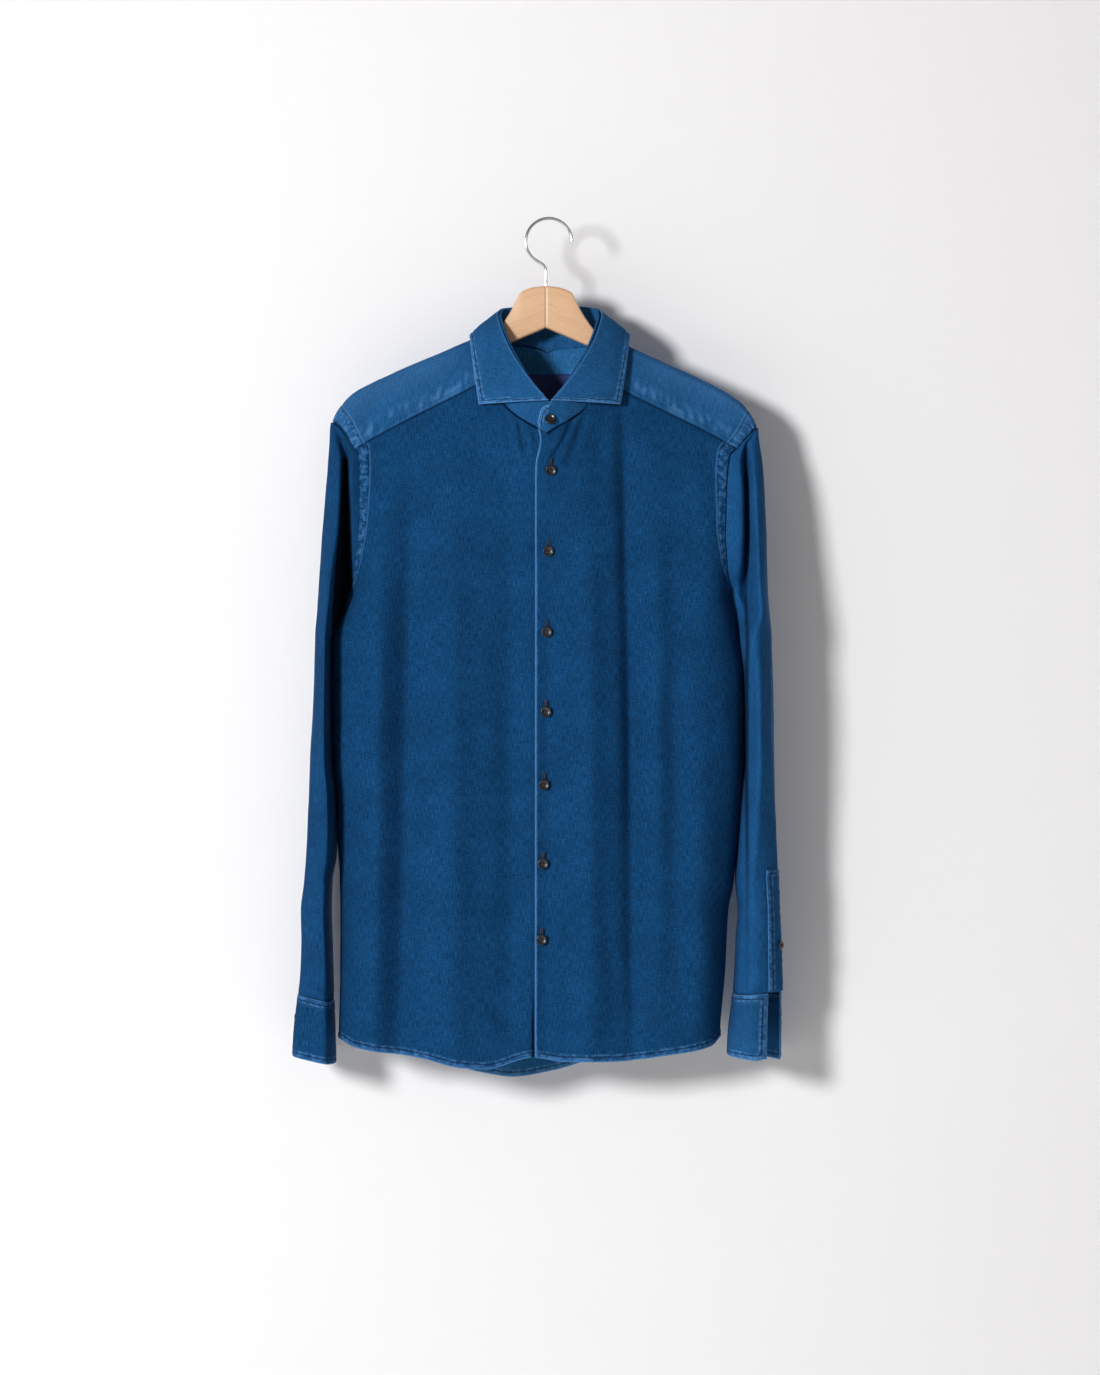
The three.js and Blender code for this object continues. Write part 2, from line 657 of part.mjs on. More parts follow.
// The turn round the collar where the front neckline lies a distance across
function turnAtX(x) {
  let low = 0;
  let high = NECK_CORNER_TURN;
  for (let i = 0; i < 30; i += 1) {
    const middle = (low + high) / 2;
    if (neckXByTurn(middle) < x) low = middle;
    else high = middle;
  }
  return low;
}

// The top edge of a front: along the neckline, then along the yoke seam, as [over, z] places
function frontTopEdge(side, startX) {
  const across = Math.sign(startX) !== SIGN[side];
  const start = turnAtX(Math.abs(startX));
  const places = [{ x: startX, drop: neckDropByTurn(start) }];
  if (across) {
    const beyond = frontNeckStations(side === 'left' ? 'right' : 'left');
    places.push(...beyond.filter(({ turn }) => turn > 0 && turn < start - 0.02).reverse());
  }
  places.push(...frontNeckStations(side).filter(({ turn }) => across || turn > start + 0.02));
  const edge = places.map(({ x, drop }) => ({ x, z: ridgeZ(x) + drop - SEAM_GAP / 2 }));
  for (const share of SEAM_STATIONS) {
    const place = frontSeamPlace(side, share);
    edge.push({ x: place.x, z: ridgeZ(place.x) - place.drop - SEAM_GAP / 2 });
  }
  return edge.map(({ x, z }) => [unrolled('front', x, z), z]);
}

// The armhole and side seam of a body panel as [over, z] places, armhole corner first
function outerEdge(face, side) {
  const inset = SIGN[side] * (SLEEVE_GAP / 2);
  const edge = [YOKE_CORNER_Z - SEAM_GAP / 2, ...ARMHOLE_ROWS].map(z => {
    const x = SIGN[side] * armholeX[side](z);
    return [unrolled(face, x, z) - inset, z];
  });
  for (const z of [ARMPIT_Z, ...SIDE_ROWS]) {
    edge.push([sideSeam(face, side, z) - SIGN[side] * SIDE_SEAM_INSET, z]);
  }
  const seamX = SIGN[side] * bodyEdge[side](SIDE_ROWS[SIDE_ROWS.length - 1]);
  const hem = hemZ[face](seamX);
  edge.push([sideSeam(face, side, hem) - SIGN[side] * SIDE_SEAM_INSET, hem]);
  return edge;
}

// Fills a four-sided panel from its edges (blended from both pairs of edges)
function blendedPanel(top, low, start, end) {
  const rows = start.length;
  const columns = top.length;
  const grid = [];
  for (let r = 0; r < rows; r += 1) {
    const row = [];
    const down = r / (rows - 1);
    for (let c = 0; c < columns; c += 1) {
      const across = c / (columns - 1);
      const point = [0, 1].map(k => {
        const edges = lerp(top[c][k], low[c][k], down) + lerp(start[r][k], end[r][k], across);
        const topCorners = lerp(top[0][k], top[columns - 1][k], across);
        const lowCorners = lerp(low[0][k], low[columns - 1][k], across);
        return edges - lerp(topCorners, lowCorners, down);
      });
      row.push(point);
    }
    grid.push(row);
  }
  return grid;
}

// How far the under front steps back beneath the over front
function lapStep(x) {
  return LAP_STEP * smooth((x - LAP_START_X + LAP_EASE) / LAP_EASE);
}

function frontPanel(side, edgeX, stepsBack) {
  const top = frontTopEdge(side, edgeX);
  const end = outerEdge('front', side);
  const hemEnd = end[end.length - 1];
  const low = top.map(([over], c) => {
    const across = shareAlong(top, c);
    const place = lerp(edgeX, hemEnd[0], across);
    return [place, c === top.length - 1 ? hemEnd[1] : hemZ.front(bodyPoint('front', place, HEM_LEVEL_Z).x)];
  });
  const start = end.map(([, z], r) => {
    const share = (z - end[0][1]) / (hemEnd[1] - end[0][1]);
    return [edgeX, lerp(top[0][1], low[0][1], r === 0 ? 0 : share)];
  });
  const grid = blendedPanel(top, low, start, end);
  return grid.map(row => row.map(([over, z]) => {
    const x = bodyPoint('front', over, z).x;
    return bodyVertex('front', over, z, stepsBack ? lapStep(x) : 0);
  }));
}

// Share of the way along an edge by its distance over the cloth
function shareAlong(edge, c) {
  const first = edge[0][0];
  const last = edge[edge.length - 1][0];
  return (edge[c][0] - first) / (last - first);
}

// Back, from the left armhole to the right one

function backPanel() {
  const left = yokeCorner('left');
  const right = yokeCorner('right');
  const z = YOKE_CORNER_Z - SEAM_GAP / 2;
  const backSeam = backSeamXs(left.x, right.x);
  const start = outerEdge('back', 'left');
  const end = outerEdge('back', 'right');
  const top = backSeam.map(x => [unrolled('back', x, z), z]);
  top[0] = start[0];
  top[top.length - 1] = end[0];
  const lowStart = start[start.length - 1];
  const lowEnd = end[end.length - 1];
  const low = top.map((_, c) => {
    const over = lerp(lowStart[0], lowEnd[0], shareAlong(top, c));
    if (c === 0) return lowStart;
    if (c === top.length - 1) return lowEnd;
    return [over, hemZ.back(bodyPoint('back', over, HEM_LEVEL_Z).x)];
  });
  const grid = blendedPanel(top, low, start, end);
  return grid.map(row => row.map(([over, height]) => bodyVertex('back', over, height)));
}

const BACK_SHARES = [1, 0.9, 0.79, 0.68, 0.57, 0.46, 0.35, 0.24, 0.12];

function backSeamXs(leftX, rightX) {
  const left = BACK_SHARES.map(share => leftX * share);
  const right = BACK_SHARES.map(share => rightX * share).reverse();
  return [...left, 0, ...right];
}

// Yoke: lines from the neck out to the front seam, the armholes and the back seam

function yokePanel() {
  const half = side => [...shoulderStations(side), ...backNeckStations(side)];
  const centre = { ...neckPlace('left', 1), out: { x: 0, drop: ridgeZ(0) - YOKE_CORNER_Z } };
  const lines = [...half('left'), centre, ...half('right').reverse()];
  return lines.map(({ x: neckX, drop: neckDrop, out }) => {
    const onArmhole = Math.abs(out.x) > YOKE_ARMHOLE_X;
    const lower = Math.abs(ridgeZ(out.x) - Math.abs(out.drop) - YOKE_CORNER_Z) < 0.01;
    const lift = lower ? -Math.sign(out.drop) * (SEAM_GAP / 2) : 0;
    const liftAtNeck = lower && out.drop < 0 ? SEAM_GAP / 2 : 0;
    return SEAM_STATIONS.map(share => {
      const inset = share === 1 && onArmhole ? SLEEVE_GAP / 2 : 0;
      const x = lerp(neckX, out.x, share) - Math.sign(out.x) * inset;
      return shoulderVertex(x, lerp(neckDrop + liftAtNeck, out.drop + lift, share));
    });
  });
}

// Collar band and leaf

const collarColumn = name => column(COLLAR, 'turn', name);
const foldX = collarColumn('foldX');
const foldY = collarColumn('foldY');
const foldZ = collarColumn('foldZ');
const leafX = collarColumn('edgeX');
const leafY = collarColumn('edgeY');
const leafZ = collarColumn('edgeZ');

// Signed turns run from -1 (back centre) through 0 (front centre) to 1 (back centre again)
function foldPoint(turn) {
  const along = Math.abs(turn);
  const x = COLLAR_CENTRE_X + Math.sign(turn) * foldX(along);
  return new THREE.Vector3(x, foldY(along), foldZ(along));
}

function neckPoint({ x, drop }) {
  return shoulderVertex(x, drop).point;
}

// All stations of the collar from the front centre round to the back one
function collarStations(side) {
  const sign = SIGN[side];
  const all = [...frontNeckStations(side), ...shoulderStations(side), ...backNeckStations(side)];
  return all.map(station => ({ ...station, turn: sign * station.turn }));
}

// The place on the neckline at a signed distance across the front
function frontNeckStation(x) {
  const side = sideOf(x);
  const turn = turnAtX(Math.abs(x));
  return { turn: SIGN[side] * turn, ...neckPlace(side, turn) };
}

function leafEdgePoint(turn) {
  const along = Math.abs(turn);
  const x = COLLAR_CENTRE_X + Math.sign(turn || 1) * leafX(along);
  return new THREE.Vector3(x, leafY(along), leafZ(along));
}

const STAND_ROWS = 3;
const STAND_LAP = { start: 0.24, ease: 0.13 };

function standColumn(station, backwards) {
  const neck = neckPoint(station);
  const fold = foldPoint(station.turn);
  const up = fold.clone().sub(neck).normalize();
  const from = neck.addScaledVector(up, STAND_LIFT);
  const inward = new THREE.Vector3(0, backwards, 0);
  const points = [];
  for (let i = 0; i <= STAND_ROWS; i += 1) {
    points.push(from.clone().lerp(fold, i / STAND_ROWS).add(inward));
  }
  return points;
}

// Builds wall vertices from a grid of points, with directions taken across the grid
function gridVertices(grid, facing) {
  const last = grid.length - 1;
  return grid.map((row, r) => row.map((point, c) => {
    const alongRow = row[Math.min(c + 1, row.length - 1)].clone().sub(row[Math.max(c - 1, 0)]);
    const alongColumn = grid[Math.min(r + 1, last)][c].clone().sub(grid[Math.max(r - 1, 0)][c]);
    return { point, normal: alongRow.cross(alongColumn).normalize().multiplyScalar(facing) };
  }));
}

function collarStand() {
  const left = collarStations('left');
  const right = collarStations('right');
  const isWithin = (x, end) => Math.abs(x) > 0 && Math.abs(x) < Math.abs(end) - 2;
  const beyond = (stations, end) => stations.filter(({ x }) => isWithin(x, end));
  const underEnd = frontNeckStation(STAND_UNDER_END_X);
  const overEnd = frontNeckStation(STAND_OVER_END_X);
  const underPart = beyond(right.slice(0, FRONT_NECK_TURNS.length), STAND_UNDER_END_X).reverse();
  const overPart = beyond(left.slice(0, FRONT_NECK_TURNS.length), STAND_OVER_END_X);
  const backCentre = { turn: 1, ...neckPlace('left', 1) };
  const under = [underEnd, ...underPart, ...left];
  const over = [...right.reverse(), ...overPart, overEnd];
  const step = DOUBLE_CLOTH + LAP_GAP;
  const stepAt = turn => step * smooth((turn + STAND_LAP.start) / STAND_LAP.ease);
  const grid = [
    ...under.map(station => standColumn(station, stepAt(station.turn))),
    standColumn(backCentre, 0),
    ...over.map(station => standColumn(station, 0)),
  ];
  const vertices = gridVertices(grid, 1);
  vertices.forEach(([lowest]) => lowest.normal.setZ(0).normalize());
  return vertices;
}

const LEAF_ROWS = 3;
const LEAF_BULGE = 3.2;
const COLLAR_CENTRE_Y = -5;
const LEAF_FRONT_TURN = 0.012;

function collarLeaf() {
  const turns = collarStations('right').map(({ turn }) => Math.max(turn, LEAF_FRONT_TURN));
  const left = turns.map(turn => -turn);
  return gridVertices([...left, 1, ...turns.reverse()].map(leafColumn), -1);
}

function leafColumn(turn) {
  const fold = foldPoint(turn);
  const edge = leafEdgePoint(turn);
  const centre = new THREE.Vector3(COLLAR_CENTRE_X, COLLAR_CENTRE_Y, fold.z);
  const out = fold.clone().sub(centre).setZ(0).normalize();
  fold.addScaledVector(out, LEAF_CLEARANCE);
  const points = [];
  for (let i = 0; i <= LEAF_ROWS; i += 1) {
    const share = i / LEAF_ROWS;
    const bulge = LEAF_BULGE * Math.sin(Math.PI * share);
    points.push(fold.clone().lerp(edge, share).addScaledVector(out, bulge));
  }
  return points;
}

// Sleeves

const CAP_COLUMNS = ['roll', 'rollY', 'valley', 'valleyY', 'ridge', 'ridgeY', 'outer'];

// Every row of a sleeve table: those above the armpit as given, the tube's worked out
function sleeveRows(side) {
  const tube = SLEEVE_TUBES[side].map(({ z, inner, outer, half }) => {
    const width = outer - inner;
    return {
      z,
      inner,
      roll: inner + SLEEVE_SHARE.rollX * width,
      rollY: SLEEVE_SHARE.rollY * half,
      valley: inner + SLEEVE_SHARE.valleyX * width,
      valleyY: SLEEVE_SHARE.valleyY * half,
      ridge: inner + SLEEVE_SHARE.ridgeX * width,
      ridgeY: half,
      outer,
    };
  });
  return [...SLEEVE_CAPS[side], ...tube];
}

const SLEEVE_SHAPES = Object.fromEntries(['left', 'right'].map(side => {
  const rows = sleeveRows(side);
  const shape = Object.fromEntries(CAP_COLUMNS.map(name => [name, column(rows, 'z', name)]));
  const armpit = { z: ARMPIT_Z, inner: armholeX[side](ARMPIT_Z) + SLEEVE_GAP };
  const below = { z: BELOW_ARMPIT.z, inner: BELOW_ARMPIT[side] };
  shape.inner = column([armpit, below, ...SLEEVE_TUBES[side]], 'z', 'inner');
  return [side, shape];
}));

// The ten places around a sleeve at a height, from the underarm over the front to the back again
function sleeveRing(side, z) {
  const shape = SLEEVE_SHAPES[side];
  const value = Object.fromEntries(CAP_COLUMNS.map(name => [name, shape[name](z)]));
  const sign = SIGN[side];
  const centre = SLEEVE_CENTRE_Y * smooth((ARMHOLE[side][0].z - z) / SLEEVE_CENTRE_DROP);
  const outX = value.ridge + (value.outer - value.ridge) * OUTER_FOLD.x;
  const above = z > ARMPIT_Z;
  const innerX = above ? armholeX[side](z) + SLEEVE_SEAM_OFFSET : shape.inner(z);
  const innerY = face => {
    if (!above) return 0;
    return Math.abs(bodyPoint(face, unrolled(face, sign * armholeX[side](z), z), z).y);
  };
  const half = face => [
    [innerX, innerY(face)],
    [value.roll, value.rollY],
    [value.valley, value.valleyY],
    [value.ridge, value.ridgeY],
    [outX, value.ridgeY * OUTER_FOLD.y],
  ];
  const share = smooth((ARMPIT_Z - z) / UNDERARM_DROP);
  const place = ([x, y], facing, k) => {
    const shift = centre * (k < 3 ? share : 1);
    return new THREE.Vector3(sign * x, facing * y + shift, z);
  };
  const front = half('front').map((pair, k) => place(pair, -1, k));
  const back = half('back').map((pair, k) => place(pair, 1, k)).reverse();
  return [...front, new THREE.Vector3(sign * value.outer, centre, z), ...back];
}

// Long soft flutes pressed into the outer and inner faces of the sleeve
function fluteDepth(around, z) {
  let total = 0;
  for (const flute of SLEEVE_FLUTES) {
    const along = (flute.from - z) / (flute.from - flute.to);
    if (along <= 0 || along >= 1) continue;
    const away = (around - flute.around) / flute.width;
    total += flute.depth * Math.sin(Math.PI * along) * Math.exp(-(away ** 2));
  }
  return total;
}

function sleevePoint(side, around, z) {
  const ring = sleeveRing(side, z);
  const closed = z <= ARMPIT_Z;
  const points = closed ? ring.slice(0, -1) : ring;
  const curve = new THREE.CatmullRomCurve3(points, closed, 'centripetal');
  const point = curve.getPoint(clamp(around / 10, 0, 1));
  const middle = (ring[0].x + ring[5].x) / 2;
  const inward = Math.sign(middle - point.x);
  point.x += inward * fluteDepth(around, z);
  return point;
}

const AROUND_STEPS = 20;
const TUBE_ROWS = [-401, -415, -432, -460, -495, -535, -580, -630, -680, -725, -760, -790, WRIST_Z];

const cuffTop = (side, x) => {
  const cuff = CUFFS[side];
  const share = (Math.abs(x) - cuff.innerX) / (cuff.outerX - cuff.innerX);
  return lerp(cuff.topInner, cuff.topOuter, share);
};

const cuffLow = (side, x) => {
  const cuff = CUFFS[side];
  const share = (Math.abs(x) - cuff.innerX) / (cuff.outerX - cuff.innerX);
  return lerp(cuff.lowInner, cuff.lowOuter, share);
};

function sleeveHeights(side) {
  const capRows = CAP_DROPS.map(drop => armholePlace(side, drop).z);
  return [...capRows, YOKE_CORNER_Z, ...ARMHOLE_ROWS, ARMPIT_Z, ...TUBE_ROWS];
}

function sleeveWall(side) {
  const heights = sleeveHeights(side);
  const grid = heights.map((z, r) => {
    const row = [];
    for (let c = 0; c <= AROUND_STEPS; c += 1) {
      const point = sleevePoint(side, (10 * c) / AROUND_STEPS, z);
      if (r === 0) point.x += SIGN[side] * TIP_GAP;
      if (r === heights.length - 1) point.z = cuffTop(side, point.x) + CUFF_GAP / 2;
      row.push(point);
    }
    return row;
  });
  const closedFrom = heights.indexOf(ARMPIT_Z);
  const vertices = sleeveVertices(grid, closedFrom, side);
  return { wall: vertices, closedFrom };
}

// Directions over a sleeve: closed rows look across the seam
function sleeveVertices(grid, closedFrom, side) {
  const last = grid.length - 1;
  return grid.map((row, r) => row.map((point, c) => {
    const closed = r >= closedFrom;
    const count = row.length - 1;
    const ahead = closed ? row[(c + 1) % count] : row[Math.min(c + 1, count)];
    const behind = closed ? row[(c - 1 + count) % count] : row[Math.max(c - 1, 0)];
    const alongRow = ahead.clone().sub(behind);
    const below = grid[Math.min(r + 1, last)][c];
    const above = grid[Math.max(r - 1, closed && c % count === 0 ? closedFrom : 0)][c];
    const normal = alongRow.cross(below.clone().sub(above)).normalize();
    return { point, normal: normal.multiplyScalar(-SIGN[side]) };
  }));
}

// Cuffs: a band around the wrist, open where its two ends part

const CUFF_STEPS = 18;
const CUFF_ROWS = 3;

function cuffPoint(side, around, down) {
  const cuff = CUFFS[side];
  const sign = SIGN[side];
  const top = sleevePoint(side, around, WRIST_Z);
  const inner = cuff.innerX;
  const outer = cuff.outerX;
  const sleeve = SLEEVE_SHAPES[side];
  const sleeveInner = sleeve.inner(WRIST_Z);
  const sleeveOuter = sleeve.outer(WRIST_Z);
  const share = (Math.abs(top.x) - sleeveInner) / (sleeveOuter - sleeveInner);
  const wide = lerp(inner, outer, share);
  const spread = smooth(down);
  const deep = ((top.y - SLEEVE_CENTRE_Y) * cuff.half) / sleeve.ridgeY(WRIST_Z);
  const x = sign * lerp(Math.abs(top.x), wide, Math.sqrt(spread));
  const y = SLEEVE_CENTRE_Y + lerp(top.y - SLEEVE_CENTRE_Y, deep, spread);
  const z = lerp(cuffTop(side, x) - CUFF_GAP / 2, cuffLow(side, x), down);
  return new THREE.Vector3(x, y, z);
}

function cuffWall(side) {
  const cuff = CUFFS[side];
  const grid = [];
  for (let r = 0; r <= CUFF_ROWS; r += 1) {
    const down = r / CUFF_ROWS;
    const row = [];
    for (let c = 0; c <= CUFF_STEPS; c += 1) {
      const around = (lerp(cuff.openTo, 10 + cuff.openFrom, c / CUFF_STEPS)) % 10;
      const point = cuffPoint(side, around, down);
      const nearEnd = Math.min(c, CUFF_STEPS - c) / 3;
      const part = cuff.spread * down * (1 - smooth(nearEnd)) * (c < CUFF_STEPS / 2 ? 1 : -1);
      point.y += part * (side === 'left' ? 0.6 : 1);
      row.push(point);
    }
    grid.push(row);
  }
  const vertices = gridVertices(grid, -SIGN[side]);
  return vertices.map(row => row.map(({ point, normal }) => (
    { point: point.addScaledVector(normal, CUFF_PROUD), normal }
  )));
}

// Sleeve plackets, raised from the sleeve's own points

const PLACKET_TOP_Z = -680;

function placketWall(side, sleeve) {
  const strip = PLACKETS[side];
  const heights = sleeveHeights(side);
  const last = heights.length - 1;
  const rows = heights.map((z, r) => r).filter(r => heights[r] <= PLACKET_TOP_Z && r < last);
  return rows.map(r => [strip.from, strip.middle, strip.to].map(around => {
    const place = (around * AROUND_STEPS) / 10;
    const c = Math.min(Math.floor(place), AROUND_STEPS - 1);
    const before = sleeve[r][c];
    const after = sleeve[r][c + 1];
    const normal = before.normal.clone().lerp(after.normal, place - c).normalize();
    const point = before.point.clone().lerp(after.point, place - c);
    return { point: point.addScaledVector(normal, PLACKET_LIFT + CLOTH), normal };
  }));
}

// Buttons

function buttonGeometry(scale) {
  const { radius, thickness, dish, rim } = BUTTON;
  const profile = [
    [0, 0],
    [radius * 0.86, 0],
    [radius, thickness * 0.5],
    [radius - rim * 0.4, thickness],
    [radius - rim, thickness],
    [radius - rim * 1.5, thickness - dish],
    [0, thickness - dish],
  ].map(([r, h]) => new THREE.Vector2(r * scale, h * scale));
  const geometry = new THREE.LatheGeometry(profile, 10);
  return weld(geometry);
}

// Joins the vertices of a turned shape that lie at the same place and drops empty faces
function weld(geometry) {
  const position = geometry.getAttribute('position');
  const source = geometry.getIndex();
  const seen = new Map();
  const merged = [];
  const target = [];
  for (let i = 0; i < position.count; i += 1) {
    const point = new THREE.Vector3().fromBufferAttribute(position, i);
    const key = point.toArray().map(value => Math.round(value * 1e4)).join();
    if (!seen.has(key)) {
      seen.set(key, merged.length / 3);
      merged.push(...point.toArray());
    }
    target.push(seen.get(key));
  }
  const index = [];
  for (let i = 0; i < source.count; i += 3) {
    const [a, b, c] = [0, 1, 2].map(k => target[source.getX(i + k)]);
    if (a !== b && b !== c && a !== c) index.push(a, b, c);
  }
  const joined = new THREE.BufferGeometry();
  joined.setAttribute('position', new THREE.Float32BufferAttribute(merged, 3));
  joined.setIndex(index);
  return faceOutwards(joined);
}

// Seats a button on a cloth vertex, its face turned along the cloth's outward direction
function addButton(name, seat, lift, scale = 1) {
  const mesh = addPiece(name, buttonGeometry(scale), 'horn');
  const up = new THREE.Vector3(0, 1, 0);
  mesh.quaternion.setFromUnitVectors(up, seat.normal);
  mesh.position.copy(seat.point).addScaledVector(seat.normal, lift);
  return mesh;
}

function addFrontButtons() {
  const stand = collarStand();
  const station = frontNeckStation(STAND_BUTTON.x);
  const fold = foldPoint(station.turn);
  const neck = neckPoint(station);
  const share = (STAND_BUTTON.z - neck.z) / (fold.z - neck.z);
  const point = neck.clone().lerp(fold, share).setX(STAND_BUTTON.x);
  const normal = stand[stand.length - 2][1].normal.clone();
  addButton('button_stand', { point, normal }, BUTTON_LIFT.stand);
  FRONT_BUTTONS.forEach(({ x, z }, i) => {
    const seat = bodyVertex('front', x, z);
    addButton(`button_${i + 1}`, seat, BUTTON_LIFT.front);
  });
}

function addSleeveButtons() {
  for (const side of ['left', 'right']) {
    const wall = placketWall(side, sleeveWall(side).wall);
    const seat = wall[2][1];
    addButton(`button_sleeve_${side}`, seat, BUTTON_LIFT.sleeve, SMALL_BUTTON_SCALE);
    const around = CUFF_BUTTON[side];
    const surface = (a, d) => cuffPoint(side, a, d);
    const normal = outward(surface, around, CUFF_BUTTON.down, NUDGE, -SIGN[side]);
    const point = surface(around, CUFF_BUTTON.down).addScaledVector(normal, CUFF_BUTTON_PROUD[side]);
    addButton(`button_cuff_${side}`, { point, normal }, BUTTON_LIFT.cuff);
  }
}

// Label: a small woven patch behind the neck, on the inner face of the yoke

function labelWall() {
  const grid = [];
  const inwards = CLOTH + SEAM_GAP + 0.1;
  for (let r = 0; r <= 3; r += 1) {
    const z = LABEL.top - (LABEL.height * r) / 3;
    const row = [];
    for (let c = 0; c <= 6; c += 1) {
      const x = LABEL.x + LABEL.width * (c / 6 - 0.5);
      row.push(bodyVertex('back', x, z, inwards));
    }
    grid.push(row);
  }
  return grid;
}

// Hanger

function armSection(side, x) {
  const out = Math.abs(x);
  const last = ARM_STATIONS[ARM_STATIONS.length - 1];
  const under = ridgeZ(SIGN[side] * out) - CLOTH - ARM_CLEARANCE;
  const top = out <= last.x ? column(ARM_STATIONS, 'x', 'top')(out) : under;
  const straight = ARM_STATIONS[0].low - ARM_UNDER_SLOPE * out;
  const low = Math.min(out <= last.x ? column(ARM_STATIONS, 'x', 'low')(out) : straight, top - 10);
  return { top, low };
}

const ARM_CORNER_STEPS = 2;

// One cross-section of an arm: a rectangle with rounded edges, in the Y-Z plane
function armRing(x, top, low, half) {
  const radius = Math.min(ARM_EDGE_RADIUS, half * 0.95, (top - low) * 0.45);
  const ring = [];
  const corners = [
    [half - radius, top - radius, 0],
    [-(half - radius), top - radius, 1],
    [-(half - radius), low + radius, 2],
    [half - radius, low + radius, 3],
  ];
  for (const [y, z, quarter] of corners) {
    for (let i = 0; i <= ARM_CORNER_STEPS; i += 1) {
      const angle = (quarter + i / ARM_CORNER_STEPS) * (Math.PI / 2);
      ring.push(new THREE.Vector3(x, y + radius * Math.cos(angle), z + radius * Math.sin(angle)));
    }
  }
  return ring;
}

// Joins rings of equal length into a solid with flat ends
function loft(rings) {
  const positions = [];
  const index = [];
  const count = rings[0].length;
  rings.forEach(ring => ring.forEach(point => positions.push(...point.toArray())));
  for (let r = 0; r < rings.length - 1; r += 1) {
    for (let c = 0; c < count; c += 1) {
      const a = r * count + c;
      const b = r * count + ((c + 1) % count);
      index.push(a, b, a + count, b, b + count, a + count);
    }
  }
  const lastStart = (rings.length - 1) * count;
  for (let c = 1; c < count - 1; c += 1) {
    index.push(0, c + 1, c, lastStart, lastStart + c, lastStart + c + 1);
  }
  const geometry = new THREE.BufferGeometry();
  geometry.setAttribute('position', new THREE.Float32BufferAttribute(positions, 3));
  geometry.setIndex(index);
  return faceOutwards(geometry);
}

function hangerArm(side) {
  const headStations = ARM_STATIONS.map(({ x }) => Math.max(x, ARM_GLUE_GAP));
  const stations = [...headStations, ...ARM_INNER_STATIONS, ARM_LENGTH];
  const rings = stations.map(out => {
    const { top, low } = armSection(side, out);
    const nearEnd = clamp((ARM_LENGTH - out) / ARM_TIP.length, 0, 1);
    const fullness = lerp(ARM_TIP.height, 1, Math.sqrt(1 - (1 - nearEnd) ** 2));
    const middle = (top + low) / 2;
    const halfHeight = ((top - low) / 2) * fullness;
    const drop = (1 - fullness) * ARM_TIP.droop;
    const half = ARM_HALF_THICKNESS * lerp(ARM_TIP.thickness, 1, fullness);
    return armRing(SIGN[side] * out, middle + halfHeight - drop, middle - halfHeight - drop, half);
  });
  return loft(rings);
}

class HookCurve extends THREE.Curve {
  // Straight up from the wood, a short lean to the side, then round over the crown
  getPoint(t, target = new THREE.Vector3()) {
    const centreZ = -Math.sqrt((HOOK_RADIUS - HOOK_WIRE_RADIUS) ** 2 - HOOK_CENTRE_X ** 2);
    const stemFoot = ARM_STATIONS[0].top + SEAM_GAP;
    const { stemShare, leanShare, stemTopZ, bendZ, lead, startAngle, endAngle } = HOOK_PATH;
    const onArc = angle => new THREE.Vector3(
      HOOK_CENTRE_X + HOOK_RADIUS * Math.cos(angle),
      0,
      centreZ + HOOK_RADIUS * Math.sin(angle),
    );
    if (t < stemShare) return target.set(0, 0, lerp(stemFoot, stemTopZ, t / stemShare));
    if (t < leanShare) {
      const from = new THREE.Vector3(0, 0, stemTopZ);
      const bend = new THREE.Vector3(0, 0, bendZ);
      const to = onArc(startAngle);
      const back = new THREE.Vector3(-Math.sin(startAngle), 0, Math.cos(startAngle));
      const curve = new THREE.CubicBezierCurve3(from, bend, to.clone().addScaledVector(back, lead), to);
      return target.copy(curve.getPoint((t - stemShare) / (leanShare - stemShare)));
    }
    return target.copy(onArc(lerp(startAngle, endAngle, (t - leanShare) / (1 - leanShare))));
  }
}

function hangerHook() {
  const circle = new THREE.Shape();
  circle.absarc(0, 0, HOOK_WIRE_RADIUS, 0, Math.PI * 2);
  const geometry = new THREE.ExtrudeGeometry(circle, {
    steps: 34,
    curveSegments: 4,
    extrudePath: new HookCurve(),
  });
  geometry.deleteAttribute('uv');
  geometry.deleteAttribute('normal');
  const position = geometry.getAttribute('position');
  geometry.setIndex([...Array(position.count).keys()]);
  return weld(geometry);
}

// Assembly

addPiece('front_under', clothWall(frontPanel('left', UNDER_EDGE_X, true), CLOTH), 'denim');
addPiece('front_over', clothWall(frontPanel('right', OVER_EDGE_X, false), CLOTH), 'denim');
addPiece('back', clothWall(backPanel(), CLOTH), 'denim');
addPiece('yoke', clothWall(yokePanel(), CLOTH), 'collarDenim');
addPiece('collar_stand', clothWall(collarStand(), DOUBLE_CLOTH), 'collarDenim');
addPiece('collar_leaf', clothWall(collarLeaf(), DOUBLE_CLOTH), 'collarDenim');
for (const side of ['left', 'right']) {
  const { wall, closedFrom } = sleeveWall(side);
  addPiece(`sleeve_${side}`, clothWall(wall, CLOTH, closedFrom), 'denim');
  addPiece(`cuff_${side}`, clothWall(cuffWall(side), DOUBLE_CLOTH), 'collarDenim');
  addPiece(`sleeve_placket_${side}`, clothWall(placketWall(side, wall), CLOTH), 'denim');
  addPiece(`hanger_arm_${side}`, hangerArm(side), 'beech');
}
addPiece('hanger_hook', hangerHook(), 'chrome');
addPiece('neck_label', clothWall(labelWall(), LABEL.thickness), 'label');
addFrontButtons();
addSleeveButtons();

export default shirt;
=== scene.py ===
"""Dresses the denim shirt on its wooden hanger: cloth, seams, buttons, wood and wire."""

